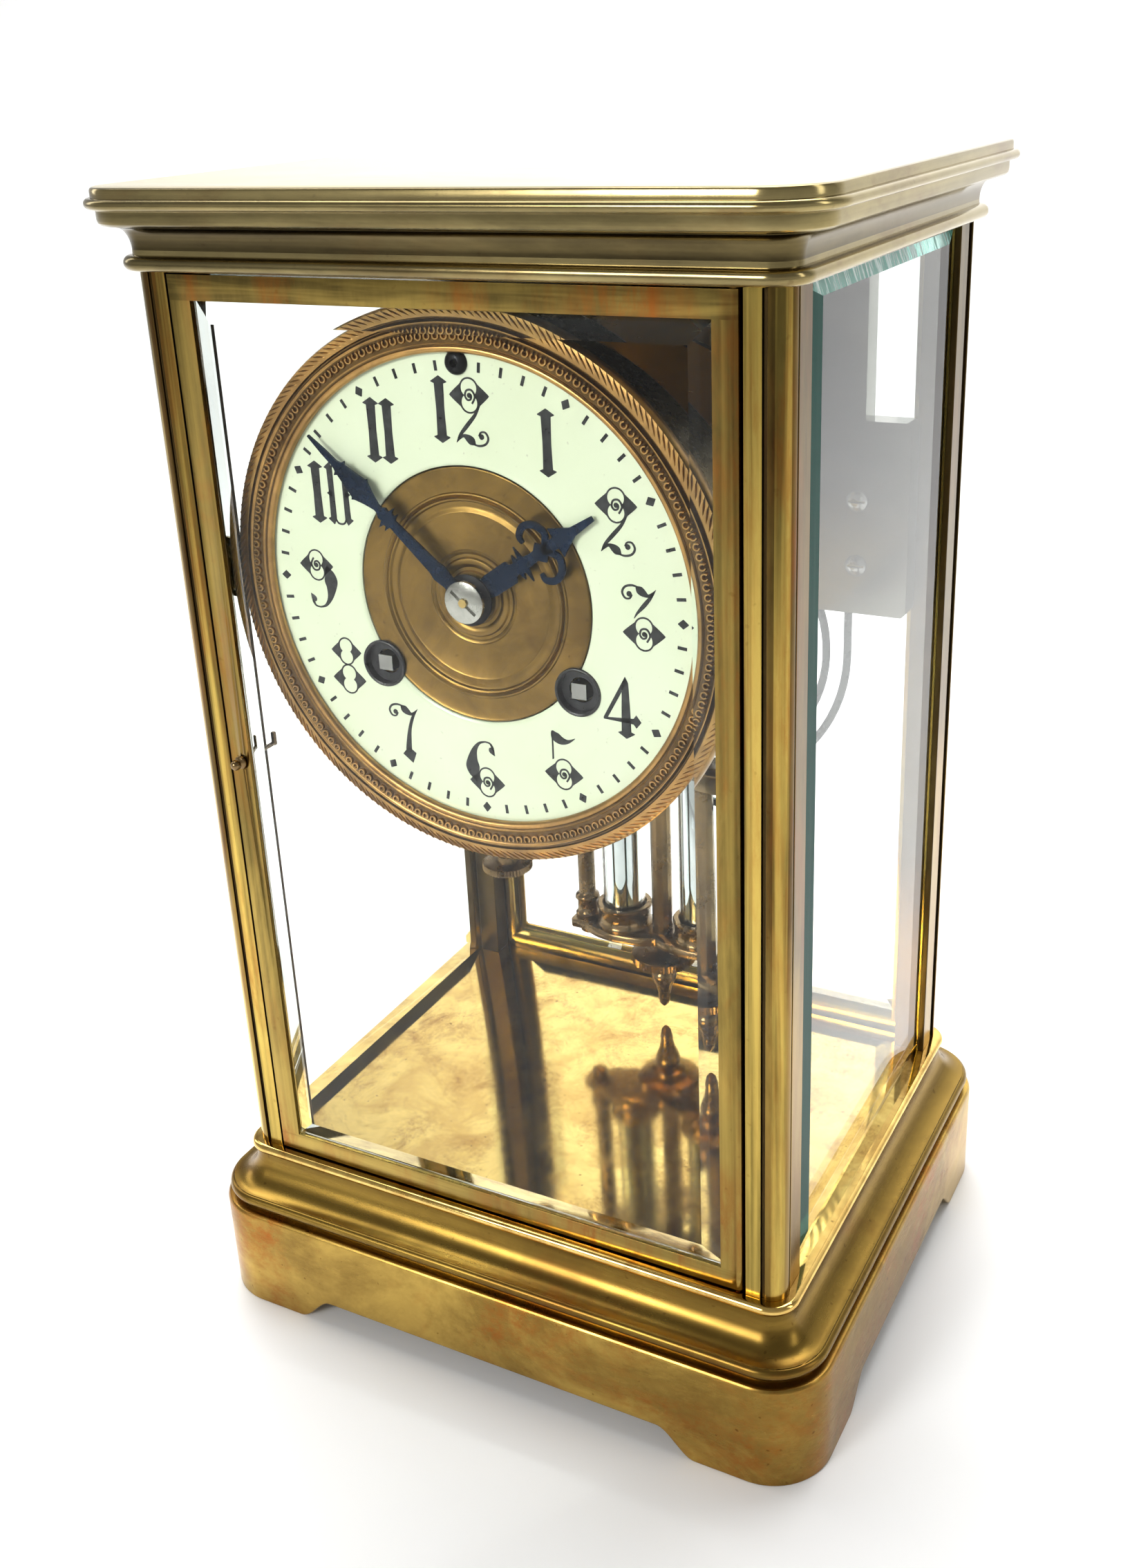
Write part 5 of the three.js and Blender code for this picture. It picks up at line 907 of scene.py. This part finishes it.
def hand(name, front, back, angle, profile, hub, bore, *extras):
    """Half widths along the blade, with a round hub, turned clockwise from twelve."""
    sheet = Sheet()
    sheet.add([straight(*profile), *extras], (0, DIAL_Z), 1.0, angle)
    blade = sheet.build(name, front, back)
    section = [(bore, back), (bore, front), (hub - 0.25, front), (hub, front + 0.2), (hub, back)]
    return fuse(name, blade, dial_lathe("ring", section))


MINUTE_PROFILE = [
    (3.0, 1.0), (5.5, 1.1), (7.6, 1.4), (8.4, 1.25), (9.2, 1.1), (20.6, 0.72), (21.0, 0.75),
    (21.35, 1.75), (21.75, 1.1), (22.3, 1.15), (22.7, 2.05), (23.2, 0.9), (24.0, 1.05), (24.8, 0.6),
    (25.6, 0.55), (28.0, 1.15), (30.0, 1.8), (30.5, 2.15), (30.8, 1.8), (33.5, 1.35), (35.8, 1.0),
    (36.3, 1.45), (36.6, 0.85), (37.6, 0.55), (41.0, 0.45), (45.3, 0.14)]
minute_hand = hand("minute_hand_blade", -49.9, -49.35, 311.6, MINUTE_PROFILE, 3.6, 1.75)
wear(minute_hand, blued_steel, "blued_steel", "minute_hand", body="minute_arbor")

HOUR_PROFILE = [
    (3.4, 1.3), (6.0, 1.7), (11.6, 1.75), (12.4, 0.95), (13.3, 0.9), (13.8, 2.0), (14.2, 1.1),
    (14.7, 1.2), (15.1, 2.8), (15.7, 0.9), (17.6, 0.75), (18.6, 0.8), (19.8, 1.6), (21.0, 0.8),
    (23.6, 0.85), (24.0, 1.1), (23.8, 2.3), (25.0, 1.8), (26.4, 1.3), (28.0, 0.72), (33.2, 0.4)]
SCROLL = [
    (3.3, 17.5, 0.5), (4.8, 17.6, 0.95), (5.9, 19.4, 1.05), (5.1, 21.6, 1.05), (2.8, 22.7, 1.0),
    (1.0, 21.6, 0.95), (0.0, 20.2, 0.8)]
scrolls = [swept(*[(side * x, z, w) for x, z, w in SCROLL]) for side in (1, -1)]
hour_hand = hand("hour_hand_blade", -48.8, -48.25, 56.0, HOUR_PROFILE, 4.3, 3.2, *scrolls)
wear(hour_hand, blued_steel, "blued_steel", "hour_hand", body="hour_pipe")

hub_profile = [(1.8, -49.35), (4.8, -49.35), (5.2, -49.15), (5.2, -48.9), (1.8, -48.9)]
wear(dial_lathe("hand_hub", hub_profile), dark_steel, "blued_steel", body="minute_arbor")
nut_profile = [(1.0, -50.95), (4.0, -51.0), (4.25, -50.85), (4.3, -50.5), (4.3, -50.05), (1.0, -50.05)]
nut = dial_lathe("hand_nut_disc", nut_profile, 56)
slot_box = block("slot", -3.4, 3.4, -51.3, -50.5, DIAL_Z - 0.45, DIAL_Z + 0.45)
slot_box.data.transform(Matrix.Translation((0, 0, DIAL_Z * MM)) @ Matrix.Rotation(math.radians(40), 4, "Y")
                        @ Matrix.Translation((0, 0, -DIAL_Z * MM)))
wear(carve(nut, slot_box), nut_steel, "polished_steel", "hand_nut", body="minute_arbor")
tip = [(0, -51.05), (0.5, -51.02), (0.85, -50.9), (1.0, -50.7), (1.0, -50.2), (0, -50.2)]
wear(lathe("hand_nut_tip", tip, (0, DIAL_Z), "y", 32), nut_steel, "polished_steel", body="minute_arbor")


# Drum, arms and thumb screw

def screw(name, profile, x, y, z, steps, bottom, reach, width):
    """A polished head whose profile starts at y, with a slot in it down to bottom."""
    head = lathe(name, raised(y, *profile), (x, z), "y", steps)
    slot = block("slot", x - reach, x + reach, y - 1.2, y + bottom, z - width, z + width)
    wear(carve(head, slot), polished_steel, "polished_steel")


drum = dial_lathe("dial_drum_body", [
    (48.8, -45.5), (50.0, -45.5), (50.0, -26.9), (49.8, -26.2), (49.4, -25.8), (46.2, -25.8), (46.2, -26.9),
    (48.8, -26.9)], 128)
# The drum wears dark brass with painted shade.
wear(drum, drum_shade_brass, "aged_brass")

ARM_SHEET = 1.6
for side, x in (("right", 1), ("left", -1)):
    low, high = limits(f"support_arm_{side}")
    outer, inner = (high.x, low.x) if x > 0 else (low.x, high.x)
    arm = prism(f"support_arm_{side}_body", [
        (outer, low.y), (inner, low.y), (inner, high.y), (inner + ARM_SHEET * x, high.y),
        (inner + ARM_SHEET * x, low.y + ARM_SHEET), (outer, low.y + ARM_SHEET)], low.z, high.z)
    wear(soften(arm, 0.35), drum_shade_brass, "aged_brass")
    for height, z in (("low", DIAL_Z - 3.6), ("high", DIAL_Z + 3.6)):
        screw(f"arm_screw_{side}_{height}", [(0, -0.7), (1.1, -0.6), (1.6, -0.2), (1.6, 0), (0, 0)],
              outer - 5.5 * x, low.y, z, 28, -0.35, 2, 0.2)


def knurled(name, radius, depth, count, low_z, high_z, y):
    """A disc whose rim is cut with fine upright ribs."""
    points = []
    for i in range(count * 4):
        a = 2 * math.pi * i / (count * 4)
        r = radius - depth * (0.0, 0.5, 1.0, 0.5)[i % 4]
        points.append((r * math.cos(a), y + r * math.sin(a)))
    return prism(name, points, low_z, high_z, "z", 60)


low, high = limits("thumb_screw")
thumb_y = (low.y + high.y) / 2
rim = knurled("thumb_rim", 5.3, 0.35, 44, low.z + 0.15, low.z + 1.55, thumb_y)
core = lathe("thumb_core", [
    *raised(low.z, (0, 0), (4.3, 0), (4.9, 0.12), (4.95, 0.3), (4.9, 1.55), (4.3, 1.7), (2.5, 1.8),
            (2.3, 3.2), (1.4, 3.5)), (1.4, high.z), (0, high.z)], (0, thumb_y), "z", 48)
wear(fuse("thumb_screw_body", core, rim), bronze_brass, "aged_brass", body="thumb_screw")


# Latches

LATCH_X, LATCH_Z = -56.5, 142.0
ball = [(1.15 * math.sin(a), -58.1 - 1.1 * math.cos(a)) for a in (math.pi * i / 12 for i in range(12))]
turned = lathe("turned", [
    *ball, (0.55, -57.2), (0.6, -56.95), (1.3, -56.85), (1.45, -56.6), (1.4, -56.25), (1.1, -56.12),
    (0.5, -56.05), (0.5, -44.0), (0, -44.0)], (LATCH_X, LATCH_Z), "y", 40)
tongue = block("tongue", LATCH_X - 0.5, LATCH_X + 0.5, -44.4, -43.5, LATCH_Z - 0.5, LATCH_Z + 2.6)
front_latch = fuse("front_door_latch_body", turned, soften(tongue, 0.2))
wear(mirrored(front_latch, "rear_door_latch_body", 1, -1), bronze_brass, "aged_brass", body="rear_latch")
wear(front_latch, bronze_brass, "aged_brass", body="front_latch")


# Gong

def tube(name, points, radius, y, sides=10):
    """A round wire along points in the x, z plane at depth y."""
    vertices = []
    for i, (x, z) in enumerate(points):
        ax, az = points[max(i - 1, 0)]
        bx, bz = points[min(i + 1, len(points) - 1)]
        size = math.hypot(bx - ax, bz - az)
        nx, nz = -(bz - az) / size, (bx - ax) / size
        for j in range(sides):
            b = 2 * math.pi * j / sides
            out = radius * math.cos(b)
            vertices.append((x + out * nx, y + radius * math.sin(b), z + out * nz))
    ends = [tuple(range(sides)), tuple(reversed(range(len(vertices) - sides, len(vertices))))]
    return make(name, vertices, skin(len(points), sides) + ends, 50)


GONG_X, GONG_Y, GONG_Z = 4.0, 46.6, 144.0
GONG_RADIUS, GONG_PITCH, GONG_TURNS, TURN_STEPS = 38.6, 5.2, 5, 72
coil = []
for i in range(GONG_TURNS * TURN_STEPS, -1, -1):
    r = GONG_RADIUS - GONG_PITCH * i / TURN_STEPS
    a = -2 * math.pi * i / TURN_STEPS
    coil.append((GONG_X + r * math.cos(a), GONG_Z + r * math.sin(a)))
coil += [(GONG_X + GONG_RADIUS, GONG_Z + 7), (GONG_X + GONG_RADIUS, 159.95)]
wear(tube("gong_coil_wire", coil, 1.0, GONG_Y), coil_steel, "blued_steel", "gong_coil")

low, high = limits("gong_block")
plate_low, plate_high = limits("gong_plate")
gong_block = block("gong_block_body", low.x, high.x, plate_high.y, high.y, low.z, high.z)
wear(soften(gong_block, 0.7, 3), polished_steel, "polished_steel")
GONG_SCREW = [(0, -1.0), (0.9, -0.95), (1.7, -0.65), (2.3, -0.1), (2.35, 0.1), (1.1, 1.6), (0, 1.6)]
for name, z in (("low", 169.9), ("high", 184.9)):
    screw(f"gong_screw_{name}", GONG_SCREW, (low.x + high.x) / 2, plate_low.y, z, 40, -0.45, 3, 0.25)


# Pendulum

def curve3(a, c, b, steps=7):
    """Points on the curve from a to b bent towards c, without the last one."""
    return [tuple((1 - t) ** 2 * p + 2 * t * (1 - t) * q + t * t * r for p, q, r in zip(a, c, b))
            for t in (i / steps for i in range(steps))]


VIAL_X = 11.0
CRADLE_LOW, CRADLE_TOP, BAR_LOW, BAR_TOP = 64.0, 66.5, 117.8, 122.5
COLUMN_X, COLUMN_R = 22.05, 2.25
END_X = 25.5


def scalloped(depth):
    """The bars' outline seen from above, swelling round each vial."""
    quarter = (curve3((0, -5), (4, -depth), (VIAL_X, -depth))
               + curve3((VIAL_X, -depth), (VIAL_X + 6, -depth), (COLUMN_X - 1, -4))
               + [(COLUMN_X - 1, -4), (END_X - 0.6, -4), (END_X, -3.4)])
    half = quarter + [(x, -y) for x, y in reversed(quarter)]
    return [(x, y + PENDULUM_Y) for x, y in half + [(-x, y) for x, y in reversed(half)][1:-1]]


def upright(name, points, x, steps, closed=False):
    return lathe(name, points, (x, PENDULUM_Y), "z", steps, closed)


SOCKET = raised(CRADLE_TOP, (5.9, 0), (7.25, 0), (7.3, 0.9), (6.9, 1.3), (6.9, 5.2), (7.3, 5.6), (7.3, 6.2),
                (7.0, 6.5), (5.9, 6.5))
COLUMN = [
    *raised(CRADLE_LOW, (0, -2.6), (1.2, -2.6), (2.1, -1.9), (2.1, 0)),
    *raised(CRADLE_TOP, (2.1, 0), (3.2, 0), (3.3, 1.0), (2.7, 1.5), (2.7, 5.0), (3.3, 5.5), (3.1, 6.4),
            (2.4, 6.8), (COLUMN_R, 7.4)),
    *raised(BAR_LOW, (COLUMN_R, -2.4), (2.9, -1.8), (2.9, 0), (2.3, 0)),
    *raised(BAR_TOP, (2.3, 0), (2.6, 0), (2.7, 0.9), (2.2, 1.9), (1.0, 2.4), (0, 2.4))]
parts = [soften(prism(name, scalloped(7.2), low, high), 0.4)
         for name, low, high in (("cradle", CRADLE_LOW, CRADLE_TOP), ("top_bar", BAR_LOW, BAR_TOP))]
for x in (-1, 1):
    parts += [upright("socket", SOCKET, x * VIAL_X, 48, True), upright("column", COLUMN, x * COLUMN_X, 40)]
wear(fuse("pendulum_frame_body", *parts), bronze_brass, "aged_brass", body="pendulum")

VIAL = [
    *raised(CRADLE_TOP, (0, 0), (5.1, 0), (5.6, 0.5)),
    *raised(BAR_LOW, (5.6, -0.4), (5.3, -0.1), (4.8, -0.4)),
    *raised(CRADLE_TOP, (4.7, 1.3), (4.3, 0.9), (0, 0.9))]
LIQUID = [
    *raised(CRADLE_TOP, (0, 0.95), (4.2, 0.95), (4.55, 1.35)), (4.55, 113.5), (4.2, 114.1), (3.2, 114.3),
    (0, 114.3)]
for name, x in (("left", -VIAL_X), ("right", VIAL_X)):
    vial = upright(f"vial_{name}_glass", VIAL, x, 64)
    wear(vial, vial_glass, "clear_glass", f"vial_{name}", body="pendulum")
    fill = upright(f"mercury_{name}_fill", LIQUID, x, 64)
    wear(fill, quicksilver, "quicksilver", f"mercury_{name}", body="pendulum")

low, high = limits("rating_nut")
rim = knurled("nut_rim", 8.5, 0.3, 60, high.z - 2.6, high.z - 0.6, PENDULUM_Y)
core = upright("nut_core", [
    *raised(high.z, (1.6, -4.4), (1.6, 0), (3.4, 0), (6.0, -0.35), (8.0, -0.5), (8.15, -0.6), (8.15, -2.6),
            (7.4, -2.9), (4.8, -3.1), (4.6, -4.8), (3.0, -5.4), (2.6, -5.9), (3.2, -6.6), (3.4, -7.6),
            (3.0, -9.0), (2.1, -11.0), (1.6, -13.4)),
    *raised(low.z, (1.7, 3.0), (1.2, 1.0), (0.5, 0.15), (0, 0)), (0, high.z - 4.4)], 0, 48)
wear(fuse("rating_nut_body", core, rim), bronze_brass, "aged_brass", body="rating_nut")


# Stage and light, in metres; the floor turns up into the wall on one arc

FRONT, BACK, SWEEP, WALL = -2.4, 3.2, 1.6, 5.0
sweep = [(FRONT, 0), *arc(BACK - SWEEP, SWEEP, SWEEP, -90, 0, 24), (BACK, WALL)]
vertices = [(x, y, z) for x in (-3.6, 3.6) for y, z in sweep]
count = len(sweep)
faces = [(i, count + i, count + i + 1, i + 1) for i in range(count - 1)]
floor_mesh = bpy.data.meshes.new("studio_floor")
floor_mesh.from_pydata(vertices, [], faces)
floor_mesh.shade_smooth()
studio = link(bpy.data.objects.new("studio_floor", floor_mesh))
paper = Nodes("studio_floor")
paper.set(Base_Color=paper.ramp(paper.noise(3, 2, 0.5), (0.3, 0.9), (0.7, 0.93)), Roughness=0.8,
          Specular_IOR_Level=0.1)
studio.data.materials.append(paper.material)

scene.view_settings.view_transform = "Standard"
world = bpy.data.worlds.new("studio")
world.use_nodes = True
scene.world = world
tree = world.node_tree
background = tree.nodes["Background"]
direction = tree.nodes.new("ShaderNodeTexCoord")
split = tree.nodes.new("ShaderNodeSeparateXYZ")
shade = tree.nodes.new("ShaderNodeValToRGB")
low_shade, high_shade = shade.color_ramp.elements
low_shade.position, low_shade.color = 0.02, (0.62, 0.62, 0.61, 1)
high_shade.position, high_shade.color = 0.5, (0.3, 0.3, 0.29, 1)
tree.links.new(direction.outputs["Generated"], split.inputs[0])
tree.links.new(split.outputs["Z"], shade.inputs["Fac"])
tree.links.new(shade.outputs["Color"], background.inputs["Color"])


def lamp(name, place, target, size, power, spread=180):
    light = bpy.data.lights.new(name, "AREA")
    light.shape = "RECTANGLE"
    light.size, light.size_y = size
    light.energy = power
    light.spread = math.radians(spread)
    obj = link(bpy.data.objects.new(name, light))
    obj.location = place
    obj.rotation_euler = (Vector(target) - Vector(place)).to_track_quat("-Z", "Y").to_euler()


lamp("overhead", (-0.35, 0.42, 1.25), (-0.2, 0.15, 0), (1.3, 0.9), 7.5, 90)
lamp("backdrop", (-0.6, 1.3, 2.6), (-0.6, 3.2, 1.0), (4.0, 0.8), 110)
lamp("front", (-0.5, -1.5, 0.75), (0, 0, 0.19), (0.5, 0.5), 1.15, 45)
lamp("window_left", (-1.3, 0.0, 0.8), (0, 0, 0.15), (0.3, 1.0), 3)
lamp("window_right", (1.5, 0.1, 0.8), (0, 0, 0.15), (0.3, 1.0), 3)


# Camera, solved from the photograph's straight edges; lengths on the picture in its pixels

PHOTO_WIDTH, PHOTO_HEIGHT = 1635, 2268
FOCAL, MIDDLE_X, MIDDLE_Y = 2330, 850, 1054.5
yaw, pitch, roll = math.radians(-28.41), math.radians(22.58), math.radians(2.47)
forward = Vector((math.sin(yaw) * math.cos(pitch), math.cos(yaw) * math.cos(pitch), -math.sin(pitch)))
right = Vector((math.cos(yaw), -math.sin(yaw), 0))
down = forward.cross(right)
right, down = right * math.cos(roll) + down * math.sin(roll), down * math.cos(roll) - right * math.sin(roll)
camera_data = bpy.data.cameras.new("camera")
camera_data.sensor_fit = "VERTICAL"
camera_data.sensor_height = 36.0
camera_data.lens = 36.0 * FOCAL / PHOTO_HEIGHT
camera_data.shift_x = -(MIDDLE_X - PHOTO_WIDTH / 2) / PHOTO_HEIGHT
camera_data.shift_y = (MIDDLE_Y - PHOTO_HEIGHT / 2) / PHOTO_HEIGHT
camera_data.clip_start = 0.01
camera = link(bpy.data.objects.new("camera", camera_data))
rotation = Matrix((right, -down, -forward)).transposed().to_4x4()
camera.matrix_world = Matrix.Translation((0.1608, -0.3009, 0.2787)) @ rotation
scene.camera = camera
